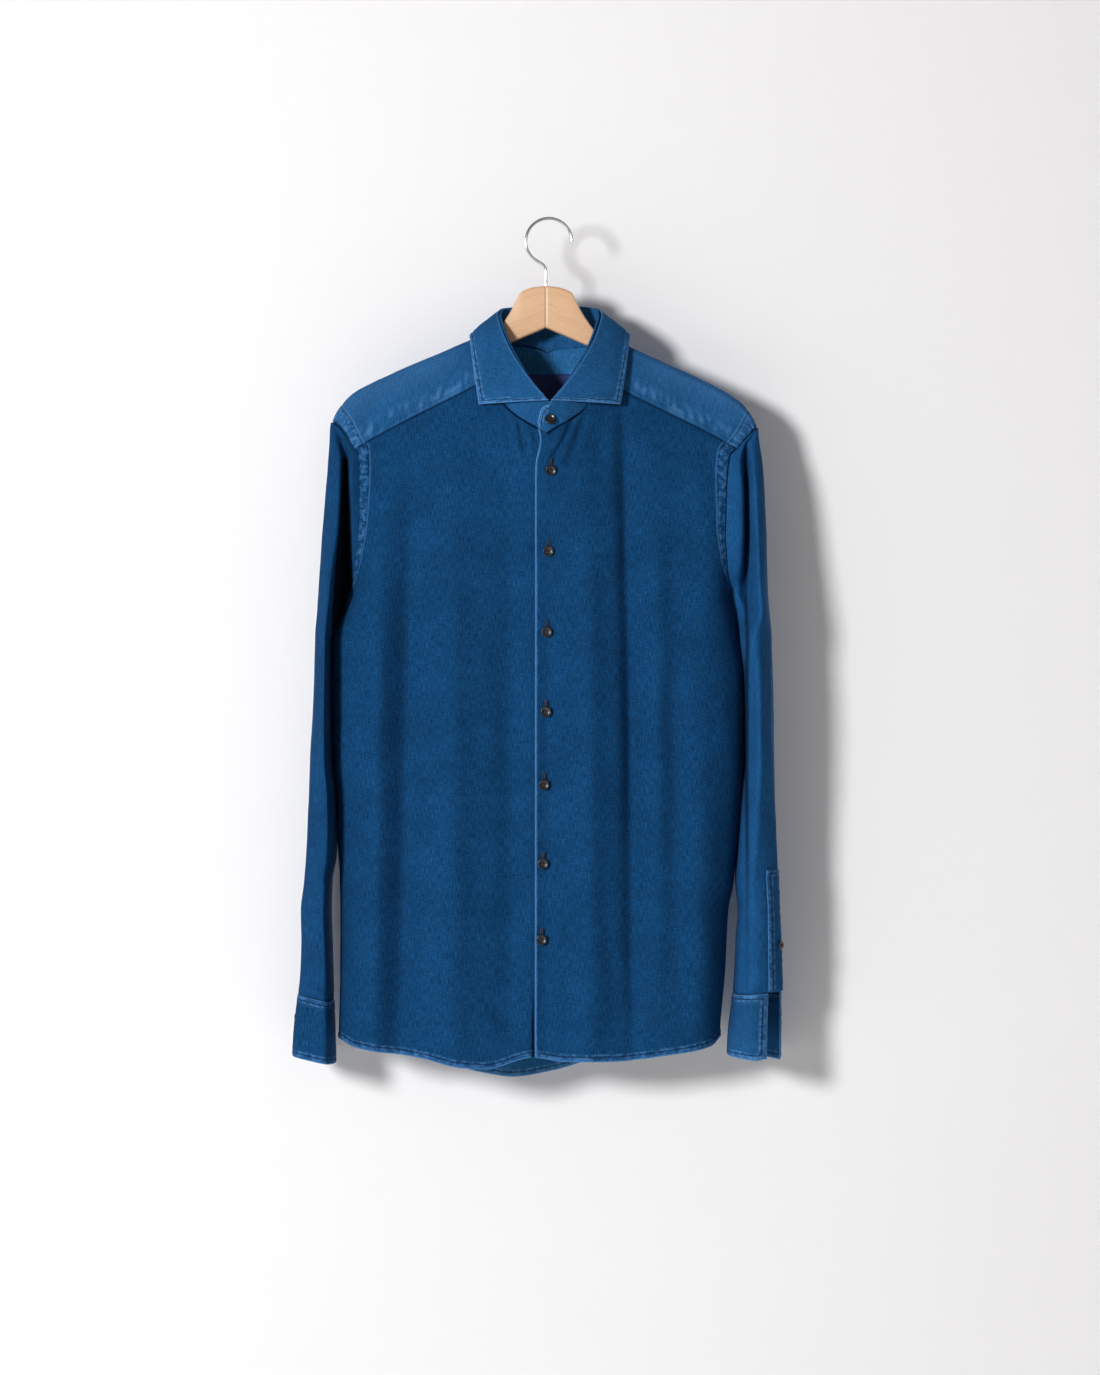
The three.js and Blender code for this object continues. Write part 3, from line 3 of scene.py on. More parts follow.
import logging
import math
from bisect import bisect_right
from dataclasses import dataclass
from enum import Enum
from functools import cache
from itertools import product
from typing import Callable, Sequence

import bmesh
import bpy
from mathutils import Matrix, Vector, noise


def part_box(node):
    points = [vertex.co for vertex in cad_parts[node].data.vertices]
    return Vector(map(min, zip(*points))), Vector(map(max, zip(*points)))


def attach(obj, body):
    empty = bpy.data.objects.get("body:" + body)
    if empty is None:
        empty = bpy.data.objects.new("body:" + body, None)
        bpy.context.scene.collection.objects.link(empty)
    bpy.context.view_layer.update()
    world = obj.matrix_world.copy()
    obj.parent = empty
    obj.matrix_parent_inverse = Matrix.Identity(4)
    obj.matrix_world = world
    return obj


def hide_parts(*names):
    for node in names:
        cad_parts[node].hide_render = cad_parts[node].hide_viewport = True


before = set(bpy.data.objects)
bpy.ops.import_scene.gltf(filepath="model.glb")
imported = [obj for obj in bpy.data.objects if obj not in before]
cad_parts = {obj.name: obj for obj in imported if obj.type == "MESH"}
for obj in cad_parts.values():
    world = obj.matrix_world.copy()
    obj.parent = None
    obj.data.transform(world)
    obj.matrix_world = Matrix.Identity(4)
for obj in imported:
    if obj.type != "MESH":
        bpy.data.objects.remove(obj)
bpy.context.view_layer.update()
LOG = logging.getLogger("shirt")

MM = 0.001


# Tables of the shirt's form, in millimetres, as in the part's source


class Table:
    """Rows of numbers with named columns."""

    def __init__(self, names: str, *rows: Sequence[float]) -> None:
        """Keeps the rows under the names.

        Args:
            names: The columns' names, parted by spaces.
            rows: One sequence of numbers a row.
        """
        self.names = names.split()
        self.rows = rows

    def values(self, name: str) -> list[float]:
        """Gives one column as a list."""
        place = self.names.index(name)
        return [row[place] for row in self.rows]

    def curve(self, key: str, name: str) -> "Column":
        """Gives a smooth function from one column to another."""
        return Column(self.values(key), self.values(name))


class Column:
    """A smooth function through points, which never overshoots them."""

    def __init__(self, at: Sequence[float], value: Sequence[float]) -> None:
        """Sorts the points and works out the slope at each.

        Args:
            at: Where the points lie.
            value: The function's value at each.
        """
        pairs = sorted(zip(at, value))
        self.at = [a for a, _ in pairs]
        self.value = [v for _, v in pairs]
        slope = [
            (self.value[i + 1] - self.value[i]) / (self.at[i + 1] - self.at[i])
            for i in range(len(pairs) - 1)
        ]
        self.tangent = [slope[0]]
        for before, after in zip(slope, slope[1:]):
            flat = before * after <= 0
            self.tangent.append(0.0 if flat else 2 * before * after / (before + after))
        self.tangent.append(slope[-1])

    def __call__(self, where: float) -> float:
        """Gives the function's value at a place.

        Args:
            where: The place.

        Returns:
            The value there.
        """
        at, value, tangent = self.at, self.value, self.tangent
        place = min(max(where, at[0]), at[-1])
        i = min(max(bisect_right(at, place) - 1, 0), len(at) - 2)
        step = at[i + 1] - at[i]
        t = (place - at[i]) / step
        near = value[i] * (1 + 2 * t) * (1 - t) ** 2 + value[i + 1] * t * t * (3 - 2 * t)
        return near + step * (tangent[i] * t * (1 - t) ** 2 - tangent[i + 1] * t * t * (1 - t))


class Side(Enum):
    """The two sides of the shirt, as its front is seen."""

    LEFT = -1
    RIGHT = 1


class Face(Enum):
    """The front and the back of the body."""

    FRONT = -1
    BACK = 1


SHOULDER_LINE = Table(
    "x z",
    (-230, -226), (-224, -212), (-219.5, -202), (-206, -185), (-193, -176.5), (-159, -160),
    (-99, -134.5), (-63, -119), (0, -94), (63, -121), (91, -134.5), (127, -151),
    (181, -176.5), (206, -193), (217, -208.5), (221, -218), (228, -236),
)
DRAPE_DEPTH = Table(
    "drop front back",
    (9.5, 9.5, 9.5), (60, 20, 22), (120, 32, 34), (200, 42, 44), (300, 46, 48),
    (450, 48, 51), (800, 50, 55),
)
BODY_SECTIONS = Table(
    "z left right round",
    (-180, 230, 228, 30), (-241, 224, 221, 38), (-290, 217, 210, 40), (-335, 210.5, 203, 38),
    (-364, 205.5, 197, 36), (-390, 202.5, 193, 34), (-412, 212, 197.5, 38), (-440, 224.5, 202, 48),
    (-475, 225, 206.5, 58), (-567, 223.5, 208, 62), (-600, 220, 205, 62), (-645, 218.5, 201.5, 62),
    (-693, 216.5, 197.5, 62), (-725, 216, 191.5, 60), (-790, 216, 188, 58), (-850, 217.5, 183, 56),
    (-910, 218, 182, 56),
)
# The deep valley between the left sleeve's hanging strip and its armhole seam, which is darkened as painted
# shade
SHADED_VALLEY = Table(
    "z inner outer",
    (-231, 206, 212), (-252, 206, 213.5), (-315, 202.8, 216), (-378, 201.8, 221.5),
    (-410, 212, 223.5), (-441, 225, 225.4), (-700, 225, 225.2),
)
ARMHOLE = {
    Side.LEFT: Table(
        "z x",
        (-213, 223.6), (-218, 215.5), (-236.5, 203.5), (-250, 196.5), (-290, 195),
        (-332, 196), (-362, 199), (-390, 202.5),
    ),
    Side.RIGHT: Table(
        "z x",
        (-218.5, 220.8), (-226, 213.5), (-238, 203), (-252, 192), (-290, 188.5),
        (-335, 187.5), (-366, 189.5), (-390, 193),
    ),
}
NECK_SWELL = {
    Face.FRONT: (18, -228, 58, 64),
    Face.BACK: (15, -140, 52, 42),
}
FOLDS = {
    Face.FRONT: Table(
        "top middle low start end width depth",
        (-140, -143, -154, -300, -930, 19, 9), (-96, -96, -100, -330, -960, 24, -5),
        (-178, -182, -186, -420, -960, 15, -4), (-34, -34, -40, -290, -960, 20, 5),
        (3, 3, -2, -300, -960, 14, 1.5), (40, 48, 46, -280, -960, 21, -5),
        (84, 90, 89, -185, -900, 14, 8), (112, 116, 120, -300, -700, 15, -3),
        (133, 136, 138, -430, -860, 13, 3.5), (160, 166, 170, -560, -960, 19, -4),
    ),
    Face.BACK: Table(
        "top middle low start end width depth",
        (-150, -146, -138, -290, -960, 20, 9), (-98, -92, -86, -300, -960, 24, -6),
        (-46, -48, -52, -260, -900, 15, 8), (6, 2, -4, -330, -960, 26, -6),
        (58, 60, 54, -250, -960, 16, 8), (104, 106, 110, -320, -930, 22, -5),
        (146, 148, 150, -300, -880, 18, 8),
    ),
}
HEM = {
    Face.FRONT: Table(
        "x z",
        (-230, -852), (-216, -858), (-198, -866), (-131, -876), (-89, -886), (-62, -888),
        (-14, -876), (20, -880), (67, -880), (130, -873), (172, -865), (183, -856), (200, -850),
    ),
    Face.BACK: Table(
        "x z",
        (-230, -852), (-216, -858), (-198, -866), (-120, -884), (-70, -899), (-34, -904), (10, -897),
        (60, -882), (130, -872), (172, -862), (183, -854), (200, -849),
    ),
}
COLLAR = Table(
    "turn neckX neckDrop foldX foldY foldZ edgeX edgeY edgeZ",
    (0, 0, -134, 0, -53, -194, 74, -35, -197),
    (0.15, 24, -113, 17, -49, -173, 77, -30, -178),
    (0.3, 46, -82, 35, -38, -145, 80.5, -22, -155),
    (0.4, 56.5, -50, 46, -24, -121, 83, -15, -134),
    (0.5, 63.5, 0, 52, -4, -99, 84.5, -1, -121.5),
    (0.62, 58, 9, 49, 15, -92, 79, 21, -124),
    (0.8, 36, 25, 31, 30, -89, 48, 42, -133),
    (1, 0, 43, 0, 36, -88, 0, 48, -137),
)
CAP_NAMES = "z roll rollY valley valleyY ridge ridgeY outer"
SLEEVE_CAPS = {
    Side.LEFT: Table(
        CAP_NAMES,
        (-214, 224, 6, 224.6, 5.4, 225.3, 4.4, 226),
        (-221, 215.5, 12, 219, 10, 223, 9.5, 227),
        (-232, 209.5, 16, 213.5, 11, 220, 16, 227.5),
        (-250, 203, 22.5, 210.5, 9, 215.5, 25, 228.6),
        (-285, 203.5, 29, 209, 6, 216, 35, 231),
        (-325, 202, 29, 208.5, 4.5, 218, 44, 234),
        (-360, 203, 19, 210.5, 3.6, 222.5, 52, 237),
        (-390, 206, 3.4, 213, 3.4, 226, 58, 239.5),
        (-412, 217.5, 10, 219.5, 24, 228, 62, 241.5),
    ),
    Side.RIGHT: Table(
        CAP_NAMES,
        (-219, 221.2, 5.4, 221.6, 5, 222.2, 4.2, 222.9),
        (-227, 214.8, 10.5, 217.2, 9.4, 220, 9.5, 223.2),
        (-238, 207, 16, 210.8, 12, 216, 16, 224.5),
        (-255, 202.5, 23, 209, 11, 217, 26, 227),
        (-285, 204.5, 29, 209.6, 8, 218.5, 36, 229),
        (-325, 205, 31, 210, 6, 220, 45, 231),
        (-360, 204, 25, 210, 4.6, 221.5, 52, 232.5),
        (-390, 201, 11, 209.5, 4.2, 222.5, 58, 234),
        (-412, 205, 18, 211, 22, 224, 62, 236),
    ),
}
SLEEVE_TUBES = {
    Side.LEFT: Table(
        "z inner outer half",
        (-440, 225.4, 244, 66), (-504, 225.6, 246, 67), (-567, 224.4, 250, 65), (-600, 221.1, 251, 63.5),
        (-645, 219.6, 252.4, 61.5), (-668, 220.5, 253, 60.5), (-693, 224.5, 254, 59),
        (-724, 225.5, 257, 57), (-756, 224.5, 256, 54),
        (-788, 223.5, 257.5, 50), (-830, 223, 263, 47.5),
    ),
    Side.RIGHT: Table(
        "z inner outer half",
        (-440, 203.1, 238.5, 66), (-475, 207.4, 239.7, 66.6), (-504, 208.4, 240.5, 67),
        (-567, 209, 241.5, 65), (-600, 206.2, 242, 63.5), (-645, 202.7, 243, 61.5),
        (-693, 198.8, 244.7, 59), (-724, 201.6, 245, 57),
        (-756, 199.5, 246, 54), (-788, 198, 247, 50), (-830, 196, 248, 48),
    ),
}
SLEEVE_FLUTES = Table(
    "around start end width depth",
    (4.4, -330, -760, 0.7, 3.2), (6.1, -420, -815, 0.6, 3.4),
    (2.2, -430, -700, 0.6, 2.4), (7.9, -450, -780, 0.6, 2.6),
)
SLEEVE_CREASES = Table(
    "around start end width depth",
    (3.6, -400, -640, 0.28, 1.5), (4.2, -560, -800, 0.25, -1.5), (3.1, -620, -806, 0.3, 1.6),
    (4.7, -430, -560, 0.3, 1.3), (6.6, -460, -700, 0.3, 1.6), (7.2, -600, -800, 0.3, -1.5),
)
ARM_STATIONS = Table(
    "x top low",
    (0, -69.3, -113.5), (12, -70.6, -118.7), (22, -73.6, -123), (27.5, -77, -125.4),
    (31, -84, -127), (36.5, -95, -129.4), (44, -106.5, -132.7), (50, -114.5, -135.4),
    (57, -122.5, -139),
)
FRONT_BUTTONS = Table(
    "x z",
    (5, -265), (2.5, -349), (1, -433), (0, -516), (-2, -592), (-3, -674), (-4.5, -753),
)

# Thicknesses, gaps and places that several pieces share
CLOTH = 1.2
DOUBLE_CLOTH = 1.9
SEAM_GAP = 0.3
SLEEVE_GAP = 0.4
LAP_GAP = 0.9
RIDGE_RADIUS = 9.5
YOKE_CORNER_Z = -242
ARMPIT_Z = -390
NECK_CORNER_TURN = 0.4
BACK_NECK_TURN = 0.62
YOKE_ARMHOLE_SHARE = 0.62
OVER_EDGE_X = -11.5
UNDER_EDGE_X = 19
COLLAR_CENTRE_X = 4
CUFF_SEAM_Z = -811
CUFF_DROP = 66
CUFF_ROUND = 230
SLEEVE_BACK_Y = 8
SLEEVE_CORE_X = 236
PLACKET_TOP_Z = -681
PLACKET_LOW_Z = -808
PLACKET_WIDE = 24
PLACKET_TALL = 127
BAND_LENGTH = 430
BAND_TALL = 40
LABEL_SPOT = (-25, 33, -160, -196)

# Where the lines of stitches lie, from the edge or the seam
EDGE_STITCH = 5.6
SEAM_STITCH = 8.6
PLACKET_STITCH = 3.5
CUFF_STITCH = 12


def lerp(start: float, end: float, share: float) -> float:
    """Gives the number a share of the way from one to another."""
    return start + (end - start) * share


def clamp(value: float, low: float = 0.0, high: float = 1.0) -> float:
    """Keeps a number between two others."""
    return min(high, max(low, value))


def smooth(share: float) -> float:
    """Eases a share in and out."""
    t = clamp(share)
    return t * t * (3 - 2 * t)


def bump(distance: float, width: float) -> float:
    """Gives a soft hill, 1 at no distance and nearly 0 two widths away."""
    return math.exp(-((distance / width) ** 2))


def wander(a: float, b: float, seed: float = 0.0) -> float:
    """Gives uneven soft noise from -1 to 1 over two numbers."""
    return noise.noise(Vector((a, b, seed)))


def side_of(x: float) -> Side:
    """Tells which side of the shirt a place is on."""
    return Side.LEFT if x < 0 else Side.RIGHT


@dataclass
class Crease:
    """One soft crease pressed into a face of the body, between two places."""

    x0: float
    z0: float
    x1: float
    z1: float
    width: float
    depth: float

    def press(self, x: float, z: float) -> float:
        """Gives the depth of the crease at a place.

        Args:
            x: Distance across.
            z: Height.

        Returns:
            How far in the cloth goes there.
        """
        ax, az = self.x1 - self.x0, self.z1 - self.z0
        length = ax * ax + az * az
        share = ((x - self.x0) * ax + (z - self.z0) * az) / length
        if share <= -0.15 or share >= 1.15:
            return 0.0
        away = abs((x - self.x0) * az - (z - self.z0) * ax) / math.sqrt(length)
        if away > 3 * self.width:
            return 0.0
        ends = smooth((share + 0.15) / 0.4) * smooth((1.15 - share) / 0.4)
        return self.depth * ends * bump(away, self.width)


def creases(*rows: Sequence[float]) -> list[Crease]:
    """Makes creases from rows of both ends, width and depth; a negative depth is a ridge."""
    return [Crease(*row) for row in rows]


CREASES = {
    Face.FRONT: creases(
        (-140, -235, -152, -900, 13, 7.0), (-98, -260, -96, -900, 17, -5.0),
        (-172, -330, -178, -860, 10, -3.5), (-40, -260, -34, -880, 15, 4.6),
        (4, -380, -2, -930, 9, 3.6), (44, -320, 46, -930, 14, -5.4), (80, -180, 90, -620, 7, 5.6),
        (88, -480, 92, -930, 8, 4.8), (116, -250, 118, -820, 10, -2.6),
        (166, -560, 164, -900, 15, -3.0), (-29, -208, -22, -248, 2.4, 4.0),
        (-40, -208, -34, -262, 4.5, 2.4), (-18, -220, -13, -252, 3, -2.2), (30, -208, 5, -258, 3, 4.8),
        (22, -220, 9, -246, 2.4, -2.2), (42, -204, 22, -262, 4.6, 3.4), (60, -202, 52, -300, 8, 1.4),
        (-206, -632, -158, -566, 7, 1.6), (-202, -520, -150, -470, 9, 1.5),
        (-190, -700, -140, -640, 9, -1.2), (-68, -806, -22, -868, 7, 1.6),
        (-40, -800, -14, -850, 6, -1.4), (-92, -830, -48, -884, 8, 1.2), (2, -800, 22, -868, 6, 1.3),
        (166, -222, 178, -276, 5, 1.5), (150, -232, 168, -330, 9, -1.2),
        (-172, -236, -180, -330, 8, 1.3), (172, -420, 120, -520, 10, 1.6),
        (186, -560, 140, -640, 9, 1.2), (150, -700, 178, -790, 9, -1.3), (60, -690, 76, -860, 8, 1.4),
        (-60, -330, -52, -520, 10, 1.1), (14, -350, 26, -470, 7, 0.9),
        (-120, -250, -112, -370, 11, 1.0),
    ),
    Face.BACK: creases(
        (-190, -420, -120, -520, 9, 2.0), (-196, -500, -140, -590, 8, 1.4),
        (176, -420, 110, -540, 9, 2.0), (182, -510, 130, -610, 8, 1.4), (-120, -300, -70, -430, 9, 1.6),
        (96, -290, 60, -420, 8, 1.5), (-30, -560, 14, -700, 10, 1.3), (-90, -700, -60, -860, 8, 1.6),
        (40, -640, 84, -800, 9, 1.5), (150, -700, 132, -860, 8, 1.4), (-180, -640, -150, -780, 9, -1.3),
        (0, -250, -10, -360, 12, 1.2),
    ),
}


class Body:
    """The draped body: a front and a back face that meet over the shoulders and at the sides."""

    def __init__(self) -> None:
        """Turns the tables into smooth functions."""
        self.ridge = SHOULDER_LINE.curve("x", "z")
        self.drape = {face: DRAPE_DEPTH.curve("drop", face.name.lower()) for face in Face}
        self.edge = {side: BODY_SECTIONS.curve("z", side.name.lower()) for side in Side}
        self.round = BODY_SECTIONS.curve("z", "round")
        self.armhole = {side: ARMHOLE[side].curve("z", "x") for side in Side}
        self.hem = {face: HEM[face].curve("x", "z") for face in Face}
        self.turned: dict[tuple[Face, Side, float], tuple[float, float, float]] = {}

    def face_depth(self, face: Face, x: float, z: float) -> float:
        """Gives the depth of a face from the middle plane, without its folds.

        Args:
            face: The front or the back.
            x: Distance across.
            z: Height.

        Returns:
            The depth, without a sign.
        """
        drop = max(0.0, self.ridge(x) - z)
        if drop < RIDGE_RADIUS:
            depth = math.sqrt(max(0.0, 2 * RIDGE_RADIUS * drop - drop * drop))
        else:
            depth = self.drape[face](drop)
        swell, height, half_width, half_height = NECK_SWELL[face]
        away = (x / half_width) ** 2 + ((z - height) / half_height) ** 2
        return depth + swell * math.exp(-away) * smooth(drop / 30)

    def fold_depth(self, face: Face, x: float, z: float) -> float:
        """Gives how far in the long folds and creases press the cloth at a place.

        Args:
            face: The front or the back.
            x: Distance across.
            z: Height.

        Returns:
            How far in the cloth goes.
        """
        total = 0.0
        for top, middle, low, start, end, width, depth in FOLDS[face].rows:
            along = (start - z) / (start - end)
            if along <= 0 or along >= 1:
                continue
            if along < 0.5:
                centre = lerp(top, middle, smooth(along * 2))
            else:
                centre = lerp(middle, low, smooth(along * 2 - 1))
            ends = smooth(along / 0.22) * smooth((1 - along) / 0.22)
            total += depth * ends * bump(x - centre, width)
        return total

    def rounding(self, face: Face, side: Side, z: float) -> tuple[float, float, float]:
        """Gives where the side rounding starts at a height, its width and its length over the cloth.

        Args:
            face: The front or the back.
            side: Which side.
            z: Height.

        Returns:
            The start, the width and the length.
        """
        key = (face, side, round(z, 3))
        if key not in self.turned:
            width = self.round(z)
            start = self.edge[side](z) - width
            depth = self.face_depth(face, side.value * start, z)
            length = (math.pi / 2) * math.sqrt((width * width + depth * depth) / 2)
            self.turned[key] = (start, width, length)
        return self.turned[key]

    def unrolled(self, face: Face, x: float, z: float) -> float:
        """Gives the distance over the cloth from the centre line for a place across.

        Args:
            face: The front or the back.
            x: Distance across.
            z: Height.

        Returns:
            The distance, with the sign of x.
        """
        start, width, length = self.rounding(face, side_of(x), z)
        out = abs(x)
        if out <= start:
            return x
        turn = math.asin(clamp((out - start) / width)) / (math.pi / 2)
        return math.copysign(start + length * turn, x)

    def side_seam(self, face: Face, side: Side, z: float) -> float:
        """Gives the distance over the cloth at which the side seam lies."""
        start, _, length = self.rounding(face, side, z)
        return side.value * (start + length)

    def point(self, face: Face, over: float, z: float) -> Vector:
        """Gives a point of the body's cloth.

        Args:
            face: The front or the back.
            over: Distance over the cloth from the centre line.
            z: Height.

        Returns:
            The point, in millimetres.
        """
        side = side_of(over)
        start, width, length = self.rounding(face, side, z)
        out = abs(over)
        turn = (math.pi / 2) * clamp((out - start) / length)
        x = side.value * (out if out <= start else start + width * math.sin(turn))
        flat = math.cos(turn)
        depth = (self.face_depth(face, x, z) - self.fold_depth(face, x, z) * flat) * flat
        return Vector((x, face.value * depth, z))

    def shoulder(self, x: float, drop: float) -> Vector:
        """Gives a place on the shoulders; a negative drop is in front, a positive one behind.

        Args:
            x: Distance across.
            drop: Drop below the shoulder line.

        Returns:
            The point, in millimetres.
        """
        face = Face.FRONT if drop < 0 else Face.BACK
        z = self.ridge(x) - abs(drop)
        if abs(drop) >= RIDGE_RADIUS:
            return self.point(face, self.unrolled(face, x, z), z)
        over = math.acos(1 - abs(drop) / RIDGE_RADIUS) * math.copysign(1, drop)
        return Vector((x, RIDGE_RADIUS * math.sin(over), z))

    def armhole_at_drop(self, side: Side, drop: float) -> tuple[float, float]:
        """Gives the armhole seam's place (x, z) at a drop below the shoulder line.

        Args:
            side: Which side.
            drop: Drop below the shoulder line.

        Returns:
            The place across and the height.
        """
        high, low = ARMHOLE[side].rows[0][0], float(ARMPIT_Z)
        for _ in range(32):
            middle = (high + low) / 2
            if self.ridge(side.value * self.armhole[side](middle)) - middle < drop:
                high = middle
            else:
                low = middle
        z = (high + low) / 2
        return side.value * self.armhole[side](z), z

    def yoke_corner(self, side: Side) -> tuple[float, float]:
        """Gives the yoke's lower corner at the armhole: its place across and its drop."""
        x = side.value * self.armhole[side](YOKE_CORNER_Z)
        return x, self.ridge(x) - YOKE_CORNER_Z


BODY = Body()


class Neck:
    """The neckline, the collar's fold line and the leaf's edge, by the turn round the neck.

    A turn runs from -1 at the back centre through 0 in front to 1 at the back again.
    """

    def __init__(self) -> None:
        """Turns the collar's table into smooth functions."""
        for name in COLLAR.names[1:]:
            setattr(self, name, COLLAR.curve("turn", name))

    def line(self, turn: float) -> tuple[float, float]:
        """Gives the neckline's distance across and its drop for a turn of 0 to 1.

        Args:
            turn: Turn round the neck.

        Returns:
            The distance across and the drop.
        """
        if turn <= NECK_CORNER_TURN or turn >= BACK_NECK_TURN:
            return self.neckX(turn), self.neckDrop(turn)
        top = self.neckX(0.5)
        if turn < 0.5:
            share = (0.5 - turn) / (0.5 - NECK_CORNER_TURN)
            corner = NECK_CORNER_TURN
            return lerp(top, self.neckX(corner), share**1.3), share * self.neckDrop(corner)
        share = (turn - 0.5) / (BACK_NECK_TURN - 0.5)
        return lerp(top, self.neckX(BACK_NECK_TURN), share), share * self.neckDrop(BACK_NECK_TURN)

    def base(self, turn: float) -> Vector:
        """Gives the neckline's point at a signed turn."""
        x, drop = self.line(abs(turn))
        return BODY.shoulder(math.copysign(x, turn), drop)

    def fold(self, turn: float) -> Vector:
        """Gives the point of the collar's fold line at a signed turn.

        Args:
            turn: Turn round the neck.

        Returns:
            The point, in millimetres.
        """
        along = abs(turn)
        x = COLLAR_CENTRE_X + (math.copysign(1, turn) if turn else 0) * self.foldX(along)
        return Vector((x, self.foldY(along), self.foldZ(along)))

    def leaf_edge(self, turn: float) -> Vector:
        """Gives the point of the leaf's outer edge at a signed turn.

        Args:
            turn: Turn round the neck.

        Returns:
            The point, in millimetres.
        """
        along = abs(turn)
        x = COLLAR_CENTRE_X + math.copysign(1, turn) * self.edgeX(along)
        return Vector((x, self.edgeY(along), self.edgeZ(along)))

    def turn_at(self, x: float) -> float:
        """Gives the turn at which the front neckline lies a distance across.

        Args:
            x: Distance across, without a sign.

        Returns:
            The turn.
        """
        low, high = 0.0, NECK_CORNER_TURN
        for _ in range(26):
            middle = (low + high) / 2
            if self.neckX(middle) < x:
                low = middle
            else:
                high = middle
        return low


NECK = Neck()


def spline(points: Sequence[Vector], closed: bool, share: float) -> Vector:
    """Gives a point on the soft curve that runs through places round a sleeve.

    Args:
        points: The places, in order.
        closed: Whether the last runs on to the first.
        share: How far along, from 0 to 1.

    Returns:
        The point.
    """
    count = len(points)
    place = (count - (0 if closed else 1)) * share
    index = int(math.floor(place))
    part = place - index
    if not closed and index >= count - 1:
        index, part = count - 2, 1.0
    if closed:
        before, start, end, after = (points[(index + k) % count] for k in (-1, 0, 1, 2))
    else:
        start, end = points[index], points[index + 1]
        before = points[index - 1] if index > 0 else 2 * points[0] - points[1]
        after = points[index + 2] if index + 2 < count else 2 * points[-1] - points[-2]
    gap1 = math.sqrt((end - start).length)
    if gap1 < 1e-4:
        gap1 = 1.0
    gap0 = math.sqrt((start - before).length) or gap1
    gap2 = math.sqrt((after - end).length) or gap1
    gap0 = gap1 if gap0 < 1e-4 else gap0
    gap2 = gap1 if gap2 < 1e-4 else gap2
    lead = ((start - before) / gap0 - (end - before) / (gap0 + gap1) + (end - start) / gap1) * gap1
    trail = ((end - start) / gap1 - (after - start) / (gap1 + gap2) + (after - end) / gap2) * gap1
    square, cube = part * part, part * part * part
    return (
        start
        + lead * part
        + (-3 * start + 3 * end - 2 * lead - trail) * square
        + (2 * start - 2 * end + lead + trail) * cube
    )


class SleeveForm:
    """The form of one hanging sleeve, by the place around it (0 to 10) and the height."""

    NAMES = ("roll", "rollY", "valley", "valleyY", "ridge", "ridgeY", "outer")

    def __init__(self, side: Side) -> None:
        """Joins the rows above and below the armpit into smooth functions.

        Args:
            side: Which sleeve.
        """
        self.side = side
        caps = SLEEVE_CAPS[side]
        rows = [dict(zip(caps.names, row)) for row in caps.rows]
        for z, inner, outer, half in SLEEVE_TUBES[side].rows:
            wide = outer - inner
            rows.append(
                dict(
                    z=z, roll=inner + 0.02 * wide, rollY=0.36 * half, valley=inner + 0.09 * wide,
                    valleyY=0.76 * half, ridge=inner + (0.22 if side is Side.LEFT else 0.4) * wide,
                    ridgeY=half, outer=outer,
                )
            )
        at = [row["z"] for row in rows]
        self.shape = {name: Column(at, [row[name] for row in rows]) for name in self.NAMES}
        armpit = BODY.armhole[side](ARMPIT_Z) + SLEEVE_GAP
        below = 213 if side is Side.LEFT else 198.6
        tube = SLEEVE_TUBES[side]
        self.inner = Column([ARMPIT_Z, -412, *tube.values("z")], [armpit, below, *tube.values("inner")])
        self.rings: dict[float, list[Vector]] = {}

    def ring(self, z: float) -> list[Vector]:
        """Gives the places round the sleeve at a height, from the underarm over the front and back.

        Args:
            z: Height.

        Returns:
            The eleven places, in order.
        """
        if z in self.rings:
            return self.rings[z]
        value = {name: curve(z) for name, curve in self.shape.items()}
        sign = self.side.value
        top = ARMHOLE[self.side].rows[0][0]
        centre = SLEEVE_BACK_Y * smooth((top - z) / 260)
        out = value["ridge"] + (value["outer"] - value["ridge"]) * 0.84
        above = z > ARMPIT_Z
        inner = BODY.armhole[self.side](z) + SLEEVE_GAP * 0.6 if above else self.inner(z)
        share = smooth((ARMPIT_Z - z) / 60)

        def half(face: Face) -> list[Vector]:
            """Lists the five places from the seam to the outer fold on one face.

            Args:
                face: The front or the back.

            Returns:
                The places, in order outwards.
            """
            depth = 0.0
            if above:
                x = sign * BODY.armhole[self.side](z)
                depth = abs(BODY.point(face, BODY.unrolled(face, x, z), z).y)
            pairs = [
                (inner, depth), (value["roll"], value["rollY"]), (value["valley"], value["valleyY"]),
                (value["ridge"], value["ridgeY"]), (out, value["ridgeY"] * 0.62),
            ]
            return [
                Vector((sign * x, face.value * y + centre * (share if k < 3 else 1), z))
                for k, (x, y) in enumerate(pairs)
            ]

        ring = [*half(Face.FRONT), Vector((sign * value["outer"], centre, z)), *reversed(half(Face.BACK))]
        self.rings[z] = ring
        return ring

    def point(self, around: float, z: float) -> Vector:
        """Gives a point of the sleeve's cloth.

        Args:
            around: Place round the sleeve, 0 at the underarm, 5 at the outer edge, 10 back again.
            z: Height.

        Returns:
            The point, in millimetres.
        """
        ring = self.ring(z)
        closed = z <= ARMPIT_Z
        point = spline(ring[:-1] if closed else ring, closed, clamp(around / 10)).copy()
        middle = (ring[0].x + ring[5].x) / 2
        press = 0.0
        for place, start, end, width, depth in SLEEVE_FLUTES.rows:
            along = (start - z) / (start - end)
            if 0 < along < 1:
                press += depth * math.sin(math.pi * along) * bump(around - place, width)
        point.x += math.copysign(1, middle - point.x) * press
        return point


